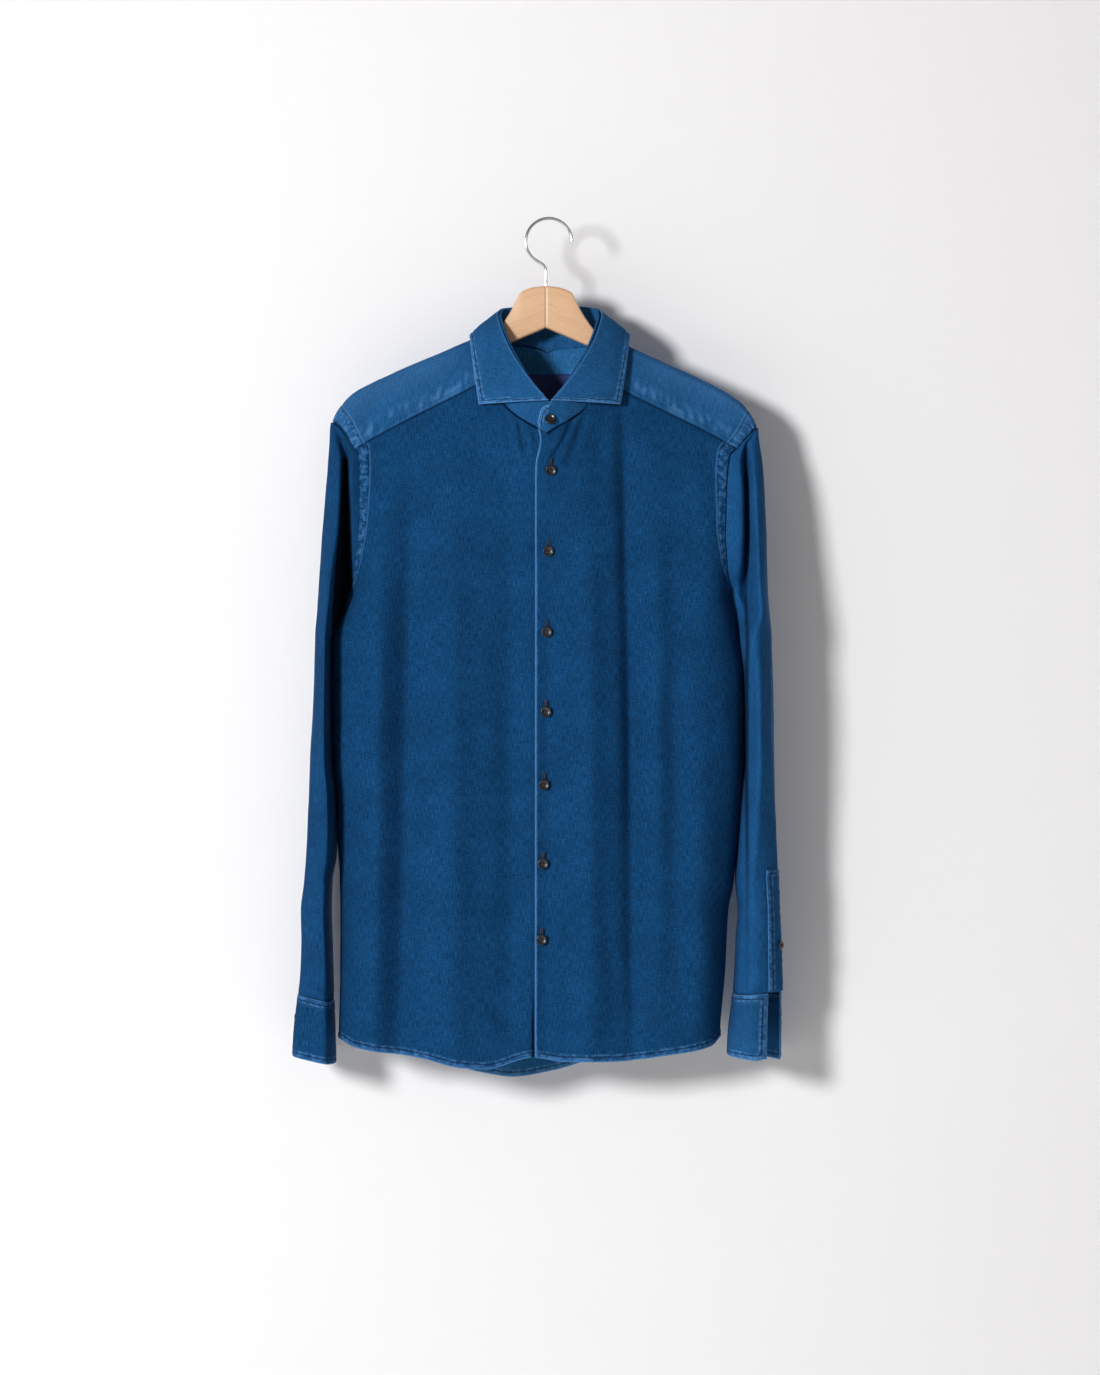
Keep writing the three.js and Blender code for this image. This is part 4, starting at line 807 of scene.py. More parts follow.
@dataclass
class CuffForm:
    """The form of one cuff, hanging open round the wrist."""

    sleeve: SleeveForm
    top_inner: float
    top_outer: float
    low_inner: float
    low_outer: float
    inner: float
    outer: float
    half: float
    open_from: float
    open_to: float
    spread: float

    def level(self, x: float, inner: float, outer: float) -> float:
        """Gives the height of a tilted edge at a place across."""
        return lerp(inner, outer, (abs(x) - self.inner) / (self.outer - self.inner))

    def top(self, x: float) -> float:
        """Gives the height of the seam above the cuff."""
        return self.level(x, self.top_inner, self.top_outer)

    def point(self, around: float, down: float) -> Vector:
        """Gives a point of the cuff's cloth.

        Args:
            around: Place round the wrist, as on the sleeve.
            down: 0 at the seam, 1 at the lower edge.

        Returns:
            The point, in millimetres.
        """
        top = self.sleeve.point(around % 10, CUFF_SEAM_Z)
        inner, outer = self.sleeve.inner(CUFF_SEAM_Z), self.sleeve.shape["outer"](CUFF_SEAM_Z)
        wide = lerp(self.inner, self.outer, (abs(top.x) - inner) / (outer - inner))
        spread = smooth(down)
        high = top.y - SLEEVE_BACK_Y
        deep = high * self.half / self.sleeve.shape["ridgeY"](CUFF_SEAM_Z)
        x = self.sleeve.side.value * lerp(abs(top.x), wide, math.sqrt(spread))
        y = SLEEVE_BACK_Y + lerp(high, deep, spread)
        z = lerp(self.top(x) - 0.3, self.level(x, self.low_inner, self.low_outer), down)
        return Vector((x, y, z))


# Colours, nodes and finishes

# At a scale of 1, the wave node turns by 20 radians over a unit
WAVES_PER_UNIT = 20
# What each point of the cloth carries: distances to an edge, an armhole seam and a join, and its wear, which
# below zero is painted shade
MARK_NAMES = ("edge", "seam", "wear_and_shade", "join")


def linear(hexed: str) -> tuple[float, float, float, float]:
    """Turns an sRGB hex colour into linear light.

    Args:
        hexed: Six hex digits after a hash.

    Returns:
        Red, green, blue and an alpha of 1.
    """
    parts = [int(hexed[i : i + 2], 16) / 255 for i in (1, 3, 5)]
    red, green, blue = ((c / 12.92) if c <= 0.04045 else ((c + 0.055) / 1.055) ** 2.4 for c in parts)
    return red, green, blue, 1.0


class Paint:
    """A node material that is built up node by node."""

    def __init__(self, name: str) -> None:
        """Starts an empty material with one surface shader.

        Args:
            name: The material's name.
        """
        self.material = bpy.data.materials.new(name)
        self.material.use_nodes = True
        self.tree = self.material.node_tree
        self.tree.nodes.clear()
        self.output = self.tree.nodes.new("ShaderNodeOutputMaterial")
        self.shader = self.add("ShaderNodeBsdfPrincipled")
        self.link(self.shader.outputs["BSDF"], self.output.inputs["Surface"])

    def link(self, source: bpy.types.NodeSocket, target: bpy.types.NodeSocket) -> None:
        """Joins two sockets."""
        self.tree.links.new(source, target)

    def add(self, kind: str, settings: dict | None = None, **inputs: object) -> bpy.types.Node:
        """Adds a node with its settings and links.

        Args:
            kind: The node's type name.
            settings: Properties to set on the node.
            inputs: Values or sockets by input name; i0, i1 and so on name an input by its place.

        Returns:
            The new node.
        """
        node = self.tree.nodes.new(kind)
        for name, value in (settings or {}).items():
            setattr(node, name, value)
        self.fill(node, inputs)
        return node

    def fill(self, node: bpy.types.Node, inputs: dict[str, object]) -> None:
        """Links or sets a node's inputs.

        Args:
            node: The node.
            inputs: Values or sockets by input name.
        """
        for name, value in inputs.items():
            by_place = name[0] == "i" and name[1:].isdigit()
            target = node.inputs[int(name[1:]) if by_place else name.replace("_", " ")]
            if isinstance(value, bpy.types.NodeSocket):
                self.link(value, target)
            else:
                target.default_value = value

    def maths(self, operation: str, *values: object) -> bpy.types.NodeSocket:
        """Adds a sum of one kind and gives its result."""
        inputs = {f"i{k}": value for k, value in enumerate(values)}
        return self.add("ShaderNodeMath", {"operation": operation}, **inputs).outputs[0]

    def mixed(self, share: object, first: object, second: object) -> bpy.types.NodeSocket:
        """Mixes two colours by a share and gives the result."""
        node = self.add("ShaderNodeMix", {"data_type": "RGBA"}, i0=share, i6=first, i7=second)
        return node.outputs[2]

    def ramp(
        self, value: object, low: float, high: float, start: float = 0.0, end: float = 1.0
    ) -> bpy.types.NodeSocket:
        """Maps a number from one range to another, kept inside it.

        Args:
            value: The number.
            low: Where its range starts.
            high: Where its range ends.
            start: The result at the start.
            end: The result at the end.

        Returns:
            The mapped number.
        """
        settings = {"clamp": True, "interpolation_type": "SMOOTHSTEP"}
        node = self.add("ShaderNodeMapRange", settings, i0=value, i1=low, i2=high, i3=start, i4=end)
        return node.outputs[0]

    def attribute(self, name: str) -> bpy.types.NodeSocket:
        """Reads one of the numbers that the cloth carries at each point."""
        return self.add("ShaderNodeAttribute", {"attribute_name": name}).outputs["Fac"]

    def cloth(self) -> bpy.types.NodeSocket:
        """Reads the place on the flat cloth, in metres."""
        return self.add("ShaderNodeUVMap", {"uv_map": "cloth"}).outputs["UV"]

    def stretched(self, vector: object, *scale: float) -> bpy.types.NodeSocket:
        """Stretches a place by its three scales."""
        return self.add("ShaderNodeMapping", None, Vector=vector, Scale=scale).outputs[0]

    def cloud(self, vector: object, size_mm: float, **settings: float) -> bpy.types.NodeSocket:
        """Adds noise whose patches are about as large as the size."""
        scale = 1 / (size_mm * MM)
        return self.add("ShaderNodeTexNoise", None, Vector=vector, Scale=scale, **settings).outputs["Fac"]

    def bands(self, vector: object, axis: str, period_mm: float, **settings: float) -> bpy.types.NodeSocket:
        """Adds parallel waves across an axis, one to each period.

        Args:
            vector: The place that they follow.
            axis: The axis that they cross.
            period_mm: From one wave to the next.
            settings: More inputs of the node.

        Returns:
            A number from 0 to 1.
        """
        kind = {"wave_type": "BANDS", "bands_direction": axis}
        scale = math.tau / (WAVES_PER_UNIT * period_mm * MM)
        return self.add("ShaderNodeTexWave", kind, Vector=vector, Scale=scale, **settings).outputs["Fac"]

    def line(self, distance: object, at: float, wide: float) -> bpy.types.NodeSocket:
        """Marks a narrow line where a distance has a given value."""
        away = self.maths("ABSOLUTE", self.maths("SUBTRACT", distance, at))
        return self.ramp(away, wide, 0.3)

    def largest(self, *values: object) -> bpy.types.NodeSocket:
        """Gives the largest of several numbers.

        Args:
            values: The numbers.

        Returns:
            The largest one.
        """
        top = values[0]
        for value in values[1:]:
            top = self.maths("MAXIMUM", top, value)
        return top

    def bump(self, height: object, strength: float, mm: float, **below: object) -> bpy.types.NodeSocket:
        """Turns a height pattern into a fine relief."""
        node = self.add("ShaderNodeBump", None, Strength=strength, Distance=mm * MM, Height=height, **below)
        return node.outputs[0]

    def surface(self, **values: object) -> bpy.types.Material:
        """Sets the surface shader's sockets and gives the finished material."""
        self.fill(self.shader, values)
        return self.material


@dataclass(frozen=True)
class Denim:
    """Indigo-dyed cotton twill, garment-washed.

    The blue warp stands over a paler weft, so the cloth shows fine diagonals and long slubs, a soft
    nap, and goes pale wherever a doubled edge rubs in the wash.
    """

    name: str
    warp: str
    weft: str
    worn: str
    thread_mm: float = 1.4
    slub_mm: float = 0.8
    grain_mm: float = 1.5
    rope_mm: float = 5.5
    mottle_mm: float = 46.0

    def build(self) -> bpy.types.Material:
        """Builds the material: it reads the cloth's own map and its distances to edges and seams.

        Returns:
            The material.
        """
        paint = Paint(self.name)
        cloth = paint.cloth()
        edge, seam, wear_and_shade, join = (paint.attribute(name) for name in MARK_NAMES)

        # Twill lines and slubs, drawn about twice as coarse as real so that they show
        turned = paint.add("ShaderNodeMapping", None, Vector=cloth, Rotation=(0, 0, math.radians(63)))
        twill = paint.bands(
            turned.outputs[0], "X", self.thread_mm, Distortion=0.8, Detail=1.0, Detail_Scale=1.2
        )
        down, across = (
            paint.cloud(paint.stretched(cloth, *scale), self.slub_mm * 9, Detail=2.0, Roughness=0.6)
            for scale in ((9.0, 0.8, 1), (1.0, 9.0, 1))
        )
        grain = paint.cloud(cloth, self.grain_mm, Detail=2.0, Roughness=0.7)
        weave = paint.maths("MULTIPLY_ADD", twill, 0.14, paint.maths("MULTIPLY", down, 0.58))
        weave = paint.maths("MULTIPLY_ADD", across, 0.36, weave)
        weave = paint.maths("MULTIPLY_ADD", grain, 0.26, weave)
        colour = paint.mixed(paint.ramp(weave, 0.4, 0.98), linear(self.warp), linear(self.weft))

        # Broad clouds from the wash
        mottle = paint.cloud(cloth, self.mottle_mm, Detail=4.0, Roughness=0.6)
        cloudy = paint.ramp(mottle, 0.32, 0.7, 0.9, 1.1)
        colour = paint.add("ShaderNodeVectorMath", {"operation": "SCALE"}, i0=colour, Scale=cloudy).outputs[0]

        # Rubbed edges and seams: a pale crest and a roped band beside it
        rope = paint.cloud(cloth, self.rope_mm, Detail=2.5, Roughness=0.6)
        roped = paint.ramp(rope, 0.44, 0.6)
        crest = paint.maths("MULTIPLY", paint.ramp(edge, 2.0, 0.5), 0.85)
        roping = paint.maths("MULTIPLY_ADD", roped, 0.45, 0.1)
        band = paint.maths("MULTIPLY", paint.ramp(edge, 9.0, 6.4), roping)
        joint = paint.maths("MULTIPLY", paint.ramp(seam, 11.0, 9.0), paint.maths("MULTIPLY", roped, 0.42))
        ridge = paint.maths("MULTIPLY", paint.line(seam, 10.2, 1.1), 0.35)
        worn = paint.largest(crest, band, joint, ridge, wear_and_shade)
        worn = paint.maths("MULTIPLY", worn, paint.ramp(grain, 0.2, 0.62, 0.55, 1.0))
        colour = paint.mixed(worn, colour, linear(self.worn))

        # Dark lines: the stitches and the crack of a seam; the wear mark below zero is painted shade,
        # darkening the cloth nearly to black in deep folds and narrow gaps
        crack = paint.ramp(paint.maths("MINIMUM", seam, join), 1.5, 0.5)
        dark = paint.largest(
            paint.maths("MULTIPLY", paint.line(edge, 5.0, 1.15), 0.72),
            paint.maths("MULTIPLY", crack, 0.6),
            paint.maths("MULTIPLY", paint.line(seam, SEAM_STITCH, 1.0), 0.4),
        )
        colour = paint.mixed(dark, colour, linear("#071a36"))
        # Painted shade: a negative wear mark mixes the cloth towards near-black
        colour = paint.mixed(paint.ramp(wear_and_shade, 0.0, -1.0), colour, linear("#02050b"))

        relief = paint.bump(paint.maths("MULTIPLY_ADD", twill, 0.35, weave), 0.55, 0.35)
        near = paint.largest(paint.ramp(edge, 9, 5), paint.ramp(seam, 12, 7))
        relief = paint.bump(paint.maths("MULTIPLY", rope, near), 0.8, 1.3, Normal=relief)
        return paint.surface(
            Base_Color=colour, Roughness=0.95, Normal=relief, Sheen_Weight=0.03, Sheen_Roughness=0.5,
            Sheen_Tint=linear("#5f8fd0"), Specular_IOR_Level=0.05,
        )


@dataclass(frozen=True)
class SatinTape:
    """Polyester satin tape: dense, smooth and a little lustrous."""

    name: str = "woven_satin_tape"
    colour: str = "#0a2366"
    rib_mm: float = 1.2

    def build(self) -> bpy.types.Material:
        """Builds the material with a fine rib across the tape.

        Returns:
            The material.
        """
        paint = Paint(self.name)
        relief = paint.bump(paint.bands(paint.cloth(), "Y", self.rib_mm, Distortion=0.3), 0.4, 0.15)
        return paint.surface(
            Base_Color=linear(self.colour), Roughness=0.6, Normal=relief, Specular_IOR_Level=0.3
        )


@dataclass(frozen=True)
class Horn:
    """Polished dark horn: nearly black, with faint brown veins and a clear gloss."""

    name: str = "polished_horn"
    dark: str = "#0e0d10"
    vein: str = "#2c2422"

    def build(self) -> bpy.types.Material:
        """Builds the material with veins a few millimetres apart.

        Returns:
            The material.
        """
        paint = Paint(self.name)
        place = paint.add("ShaderNodeTexCoord").outputs["Object"]
        veins = paint.cloud(place, 5, Detail=3.0)
        colour = paint.mixed(paint.ramp(veins, 0.5, 0.75), linear(self.dark), linear(self.vein))
        return paint.surface(Base_Color=colour, Roughness=0.3, IOR=1.5, Coat_Weight=0.08, Coat_Roughness=0.12)


@dataclass(frozen=True)
class SewingThread:
    """Spun polyester sewing thread, matt and tightly twisted."""

    name: str = "dark_sewing_thread"
    colour: str = "#0c1830"

    def build(self) -> bpy.types.Material:
        """Builds the plain material."""
        return Paint(self.name).surface(Base_Color=linear(self.colour), Roughness=0.75, Sheen_Weight=0.2)


@dataclass(frozen=True)
class Beech:
    """Planed and clear-lacquered beech: warm, with fine flecks along the grain."""

    name: str = "lacquered_beech"
    light: str = "#d6ae88"
    dark: str = "#cb9f76"
    lean: float = 24.0

    def build(self) -> bpy.types.Material:
        """Builds the material with its grain running down each arm.

        Returns:
            The material.
        """
        paint = Paint(self.name)
        place = paint.add("ShaderNodeTexCoord").outputs["Object"]
        axes = paint.add("ShaderNodeSeparateXYZ", None, Vector=place).outputs
        out = paint.maths("ABSOLUTE", axes["X"])
        slope = math.tan(math.radians(self.lean))
        level = paint.maths("MULTIPLY_ADD", out, slope, axes["Z"])
        along = paint.add("ShaderNodeCombineXYZ", None, X=out, Y=axes["Y"], Z=level).outputs[0]
        rings = paint.cloud(paint.stretched(along, 0.09, 1, 1), 6, Detail=5.0, Roughness=0.62, Distortion=0.3)
        flecks = paint.cloud(paint.stretched(along, 0.22, 1, 1), 1.1, Detail=2.0)
        ringed = paint.ramp(rings, 0.34, 0.7, 0.0, 0.75)
        tone = paint.maths("MULTIPLY_ADD", paint.ramp(flecks, 0.58, 0.72), 0.3, ringed)
        colour = paint.mixed(tone, linear(self.light), linear(self.dark))
        # The glued joint of the two arms shows as a fine pale line
        colour = paint.mixed(paint.ramp(out, 0.9 * MM, 0.4 * MM), colour, linear("#f0d8b8"))
        return paint.surface(
            Base_Color=colour, Roughness=0.46, Normal=paint.bump(flecks, 0.25, 0.1),
            Coat_Weight=0.12, Coat_Roughness=0.3,
        )


@dataclass(frozen=True)
class ChromedWire:
    """Bright chromed steel wire."""

    name: str = "chromed_steel_wire"
    colour: str = "#c9ccd0"

    def build(self) -> bpy.types.Material:
        """Builds the plain material."""
        return Paint(self.name).surface(Base_Color=linear(self.colour), Metallic=1.0, Roughness=0.14)


# Meshes


# A distance at which an edge or a seam has no more effect
FAR = 20.0
Marks = tuple[float, float, float, float]


@dataclass
class Cloth:
    """A panel of cloth, made from a plain grid that is laid over the shirt's form."""

    name: str
    columns: int
    rows: int
    place: Callable[[float, float], Vector]
    flat: Callable[[float, float], tuple[float, float]]
    marks: Callable[[float, float], Marks]
    relief: Callable[[float, float], float]
    core: Callable[[Vector], Vector]
    thickness: float = CLOTH

    def build(
        self, finish: bpy.types.Material, reverse: bpy.types.Material | None = None
    ) -> bpy.types.Object:
        """Makes the panel's object.

        Args:
            finish: Its material.
            reverse: The material of its inner face, where that one is seen.

        Returns:
            The finished object, with its wall thickness as a modifier.
        """
        bm = bmesh.new()
        layers = {name: bm.verts.layers.float.new(name) for name in MARK_NAMES}
        cloth = bm.loops.layers.uv.new("cloth")
        bmesh.ops.create_grid(bm, x_segments=self.columns, y_segments=self.rows, size=0.5)
        shares = {vert: (vert.co.x + 0.5, 0.5 - vert.co.y) for vert in bm.verts}
        for vert, (s, t) in shares.items():
            vert.co = self.place(s, t)
            for layer, value in zip(layers.values(), self.marks(s, t)):
                vert[layer] = value
        for face in bm.faces:
            for loop in face.loops:
                u, v = self.flat(*shares[loop.vert])
                loop[cloth].uv = (u * MM, v * MM)
        bm.normal_update()
        centres = ((face.normal, face.calc_center_median()) for face in bm.faces)
        if sum(normal.dot(centre - self.core(centre)) for normal, centre in centres) < 0:
            bmesh.ops.reverse_faces(bm, faces=bm.faces[:])
            bm.normal_update()
        moves = {vert: vert.normal * self.relief(*shares[vert]) for vert in bm.verts}
        for vert, move in moves.items():
            vert.co = (vert.co + move) * MM
        bmesh.ops.remove_doubles(bm, verts=bm.verts[:], dist=0.02 * MM)
        obj = finished(self.name, bm, finish)
        wall = obj.modifiers.new("wall", "SOLIDIFY")
        wall.thickness = self.thickness * MM
        wall.offset = -1
        if reverse:
            obj.data.materials.append(reverse)
            wall.material_offset = 1
        return obj


def finished(
    name: str, bm: bmesh.types.BMesh, finish: bpy.types.Material, smooth_faces: bool = True
) -> bpy.types.Object:
    """Turns a bmesh into an object in the scene.

    Args:
        name: The object's name.
        bm: The mesh, which is freed.
        finish: Its material.
        smooth_faces: Whether its faces are shaded smooth.

    Returns:
        The new object.
    """
    for face in bm.faces:
        face.smooth = smooth_faces
    mesh = bpy.data.meshes.new(name)
    bm.to_mesh(mesh)
    bm.free()
    mesh.materials.append(finish)
    obj = bpy.data.objects.new(name, mesh)
    bpy.context.scene.collection.objects.link(obj)
    return obj


def upright_core(x: float, y: float = 0.0) -> Callable[[Vector], Vector]:
    """Gives the inside of a piece as an upright line, from which its cloth faces away."""
    return lambda point: Vector((x, y, point.z))


def spaced(knots: Sequence[tuple[float, float]]) -> Callable[[float], float]:
    """Gives a function that spreads even steps unevenly, by pairs of (even share, wanted share).

    Args:
        knots: The pairs, in order.

    Returns:
        The function.
    """
    evens = [a for a, _ in knots]

    def spread(share: float) -> float:
        """Maps an even share to the wanted one.

        Args:
            share: The even share.

        Returns:
            The wanted share.
        """
        i = min(max(bisect_right(evens, share) - 1, 0), len(knots) - 2)
        (a, b), (c, d) = knots[i], knots[i + 1]
        return lerp(b, d, (share - a) / (c - a))

    return spread


def body_wander(over: float, z: float, seed: float) -> float:
    """Gives the small unevenness of hanging cloth, longer up and down than across.

    Args:
        over: Place across, over the cloth.
        z: Height.
        seed: Seed of the noise.

    Returns:
        How far the cloth stands out.
    """
    broad = wander(over / 26, z / 70, seed) * 0.75
    small = wander(over / 10, z / 22, seed + 7) * 0.28
    return broad + small


def seam_ripple(distance: float, along: float, reach: float, seed: float) -> float:
    """Gives the puckers beside a sewn line: short waves that die out away from it.

    Args:
        distance: Distance to the line.
        along: Way along the line.
        reach: How far from it they die out.
        seed: Seed of the noise.

    Returns:
        How far the cloth stands out.
    """
    if distance > reach * 2.2:
        return 0.0
    wave = wander(along / 5.2, seed) + 0.6 * wander(along / 2.6, seed + 3)
    return 0.75 * wave * bump(distance, reach)


def stitched(distance: float, at: float) -> float:
    """Gives the groove that a line of stitches pulls into the cloth."""
    return -0.4 * bump(distance - at, 0.9)


def lower_body_relief(
    hem: float, top: float, out: float, over: float, z: float, seeds: tuple[float, float, float]
) -> float:
    """Gives the relief of a front or the back beside its hem, its top seam and its outer edge.

    Args:
        hem: Distance to the hem.
        top: Distance to the seam above.
        out: Distance to the armhole or side seam.
        over: Place across, over the cloth.
        z: Height.
        seeds: Seeds of the puckers at the hem, the top seam and the armhole.

    Returns:
        How far the cloth stands out there.
    """
    lift = 0.0
    if hem < 24:
        lift += 0.75 * smooth((6.4 - hem) / 1.4) + stitched(hem, EDGE_STITCH)
        lift += seam_ripple(hem, over, 6.5, seeds[0])
    if top < 26:
        lift += seam_ripple(top, over, 7, seeds[1]) - 0.45 * smooth((3.2 - top) / 3)
    if out < 26 and z > ARMPIT_Z:
        lift += seam_ripple(abs(out - 4), z, 6, seeds[2]) + stitched(out, SEAM_STITCH)
    elif out < 16:
        lift += 0.6 * bump(out, 6) * valley_share(z) - 0.5 * bump(out, 2) * (1 - valley_share(z))
    return lift


class Fronts:
    """The two fronts, the right one lapping over the left."""

    def __init__(self, finish: bpy.types.Material) -> None:
        """Keeps the denim that both are cut from."""
        self.finish = finish

    def top_z(self, side: Side, x: float) -> float:
        """Gives the height of a front's top edge: the neckline, then the yoke seam.

        Args:
            side: Which side.
            x: Distance across.

        Returns:
            The height.
        """
        corner_x = side.value * NECK.neckX(NECK_CORNER_TURN)
        out = x * side.value
        if out <= abs(corner_x):
            return BODY.ridge(x) + NECK.neckDrop(NECK.turn_at(abs(x))) - SEAM_GAP / 2
        yoke_x, yoke_drop = BODY.yoke_corner(side)
        share = (x - corner_x) / (yoke_x - corner_x)
        return BODY.ridge(x) - lerp(-NECK.neckDrop(NECK_CORNER_TURN), yoke_drop, share) - SEAM_GAP / 2

    def outer_over(self, face: Face, side: Side, z: float) -> float:
        """Gives a panel's outer edge over the cloth: the armhole above the armpit, the side seam below.

        Args:
            face: The front or the back.
            side: Which side.
            z: Height.

        Returns:
            The distance over the cloth from the centre line.
        """
        if z > ARMPIT_Z:
            x = side.value * BODY.armhole[side](z)
            return BODY.unrolled(face, x, z) - side.value * SLEEVE_GAP / 2
        return BODY.side_seam(face, side, z) - side.value * (SEAM_GAP / 2 + 0.05)

    def panel(self, name: str, side: Side, edge_x: float, step: float, columns: int) -> Cloth:
        """Lays out one front.

        Args:
            name: The piece's name.
            side: Which side it hangs on.
            edge_x: Where its edge lies at the centre.
            step: How far it lies behind the other front where they lap.
            columns: Grid steps across.

        Returns:
            The panel, ready to build.
        """
        start_z = YOKE_CORNER_Z - SEAM_GAP / 2
        hem_end = BODY.hem[Face.FRONT](side.value * BODY.edge[side](-835))
        corner = BODY.unrolled(Face.FRONT, side.value * NECK.neckX(NECK_CORNER_TURN), -180)
        end_top = self.outer_over(Face.FRONT, side, start_z)
        end_low = self.outer_over(Face.FRONT, side, hem_end)
        neck_share = (corner - edge_x) / (end_top - edge_x)
        neck_step = round(columns * neck_share) / columns
        across = spaced([(0, 0), (0.05, 0.018), (neck_step, neck_share), (0.93, 0.965), (1, 1)])
        down = spaced([(0, 0), (0.06, 0.03), (0.94, 0.97), (1, 1)])
        top_start = self.top_z(side, edge_x)
        low_start = BODY.hem[Face.FRONT](edge_x)

        @cache
        def low_z(s: float) -> float:
            """Gives the hem's height at a share across."""
            over = lerp(edge_x, end_low, s)
            return hem_end if s >= 1 else BODY.hem[Face.FRONT](BODY.point(Face.FRONT, over, -850).x)

        @cache
        def high_z(s: float) -> float:
            """Gives the top edge's height at a share across."""
            return self.top_z(side, BODY.point(Face.FRONT, lerp(edge_x, end_top, s), -200).x)

        @cache
        def end_over(t: float) -> float:
            """Gives the outer edge over the cloth at a share down."""
            return self.outer_over(Face.FRONT, side, lerp(start_z, hem_end, t))

        @cache
        def known(s: float, t: float) -> tuple[float, float]:
            """Blends the four edges into a place over the cloth.

            Args:
                s: Share across, from 0 to 1.
                t: Share down, from 0 to 1.

            Returns:
                The place over the cloth and the height.
            """
            s, t = across(s), down(t)
            over = lerp(edge_x, end_over(t), s)
            sides = lerp(lerp(top_start, low_start, t), lerp(start_z, hem_end, t), s)
            corners = lerp(lerp(top_start, start_z, s), lerp(low_start, hem_end, s), t)
            return over, lerp(high_z(s), low_z(s), t) + sides - corners

        @cache
        def distances(s: float, t: float) -> tuple[float, float, float, float]:
            """Gives the distances to the centre edge, the hem, the yoke or neck seam and the armhole.

            Args:
                s: Share across, from 0 to 1.
                t: Share down, from 0 to 1.

            Returns:
                The four distances, in that order.
            """
            over, z = known(s, t)
            wide = across(s)
            out = abs(end_over(down(t)) - over)
            return abs(over - edge_x), (z - low_z(wide)) * 0.99, (high_z(wide) - z) * 0.93, out

        def place(s: float, t: float) -> Vector:
            """Gives the point of the form, stepped back under the lap.

            Args:
                s: Share across, from 0 to 1.
                t: Share down, from 0 to 1.

            Returns:
                The point, in millimetres.
            """
            over, z = known(s, t)
            if step == 0:
                over += 5 * bump(z + 234, 17) * (1 - smooth((over - edge_x) / 34))
            point = BODY.point(Face.FRONT, over, z)
            if step:
                point.y += step * smooth((point.x - OVER_EDGE_X + 4 + 16) / 16)
            point.y += sum(crease.press(point.x, z) for crease in CREASES[Face.FRONT])
            return point

        def marks(s: float, t: float) -> Marks:
            """Gives the distances that the cloth's wear and painted shade are drawn from.

            Args:
                s: Share across, from 0 to 1.
                t: Share down, from 0 to 1.

            Returns:
                The marks, in the order of MARK_NAMES.
            """
            centre, hem, top, out = distances(s, t)
            _, z = known(s, t)
            turned = min(hem, FAR)
            if step == 0 and centre < 2.8 and hem > 1.6:
                turned = min(turned, 0.42 * centre + 0.5)
            armhole = min(out, FAR) if z > ARMPIT_Z else FAR
            wear_and_shade = 0.0
            # Painted shade on the under front: a dark line beside the over front's edge, darker low down
            # where the slit opens
            if step:
                beside = bump(known(s, t)[0] - OVER_EDGE_X + 1.4, 2.2)
                wear_and_shade = -beside * (0.25 + 0.7 * smooth((-790 - z) / 60))
            return turned, max(armhole, 0.0), wear_and_shade, max(0.0, min(top, FAR if z > ARMPIT_Z else out, FAR))

        def relief(s: float, t: float) -> float:
            """Gives the small relief: unevenness, puckers, grooves and the doubled hem.

            Args:
                s: Share across, from 0 to 1.
                t: Share down, from 0 to 1.

            Returns:
                How far the cloth stands out.
            """
            over, z = known(s, t)
            centre, hem, top, out = distances(s, t)
            calm = smooth(min(top, out, hem) / 14)
            lift = body_wander(over, z, side.value * 3.1) * (0.35 + 0.65 * calm)
            lift += lower_body_relief(hem, top, out, over, z, (11, 23, 31))
            if z > ARMPIT_Z:
                lift += 0.55 * smooth((9 - out) / 2)
            if step and over < OVER_EDGE_X + 3:
                open_slit = smooth((-815 - z) / 60)
                lift -= (0.9 + 2.6 * open_slit) * bump(over - OVER_EDGE_X + 1.5, 1.6 + open_slit)
            if step == 0 and centre < 16:
                lift += 0.9 * wander(z / 34, 5) * bump(centre, 6) + 0.25 * wander(z / 6, 9) * bump(centre, 4)
                lift -= 0.9 * smooth((1.4 - centre) / 1.4)
            return lift - wrapped_pull(over, z) if abs(over) < 40 else lift

        return Cloth(
            name=name, columns=columns, rows=250, place=place, flat=known, marks=marks, relief=relief,
            core=upright_core(0),
        )

    def build(self) -> list[bpy.types.Object]:
        """Builds both fronts.

        Returns:
            The left front and the right one.
        """
        under = self.panel("front_left", Side.LEFT, UNDER_EDGE_X, CLOTH + LAP_GAP, 104)
        over = self.panel("front_right", Side.RIGHT, OVER_EDGE_X, 0.0, 100)
        return [front.build(self.finish) for front in (under, over)]


def valley_share(z: float) -> float:
    """Tells how far body and sleeve lie against each other below the armpit, from 0 to 1."""
    return smooth((ARMPIT_Z + 2 - z) / 8) * smooth((z + 690) / 30)


def wrapped_pull(over: float, z: float) -> float:
    """Gives the small hollow that each button pulls round itself.

    Args:
        over: Place across, over the cloth.
        z: Height.

    Returns:
        How far in the cloth goes.
    """
    total = 0.0
    for x, height in FRONT_BUTTONS.rows:
        if abs(z - height) < 30:
            total += 0.9 * bump(over - x, 7) * bump(z - height - 4, 9)
            total -= 0.5 * bump(over - x - 12, 5) * bump(z - height + 6, 12)
    return total


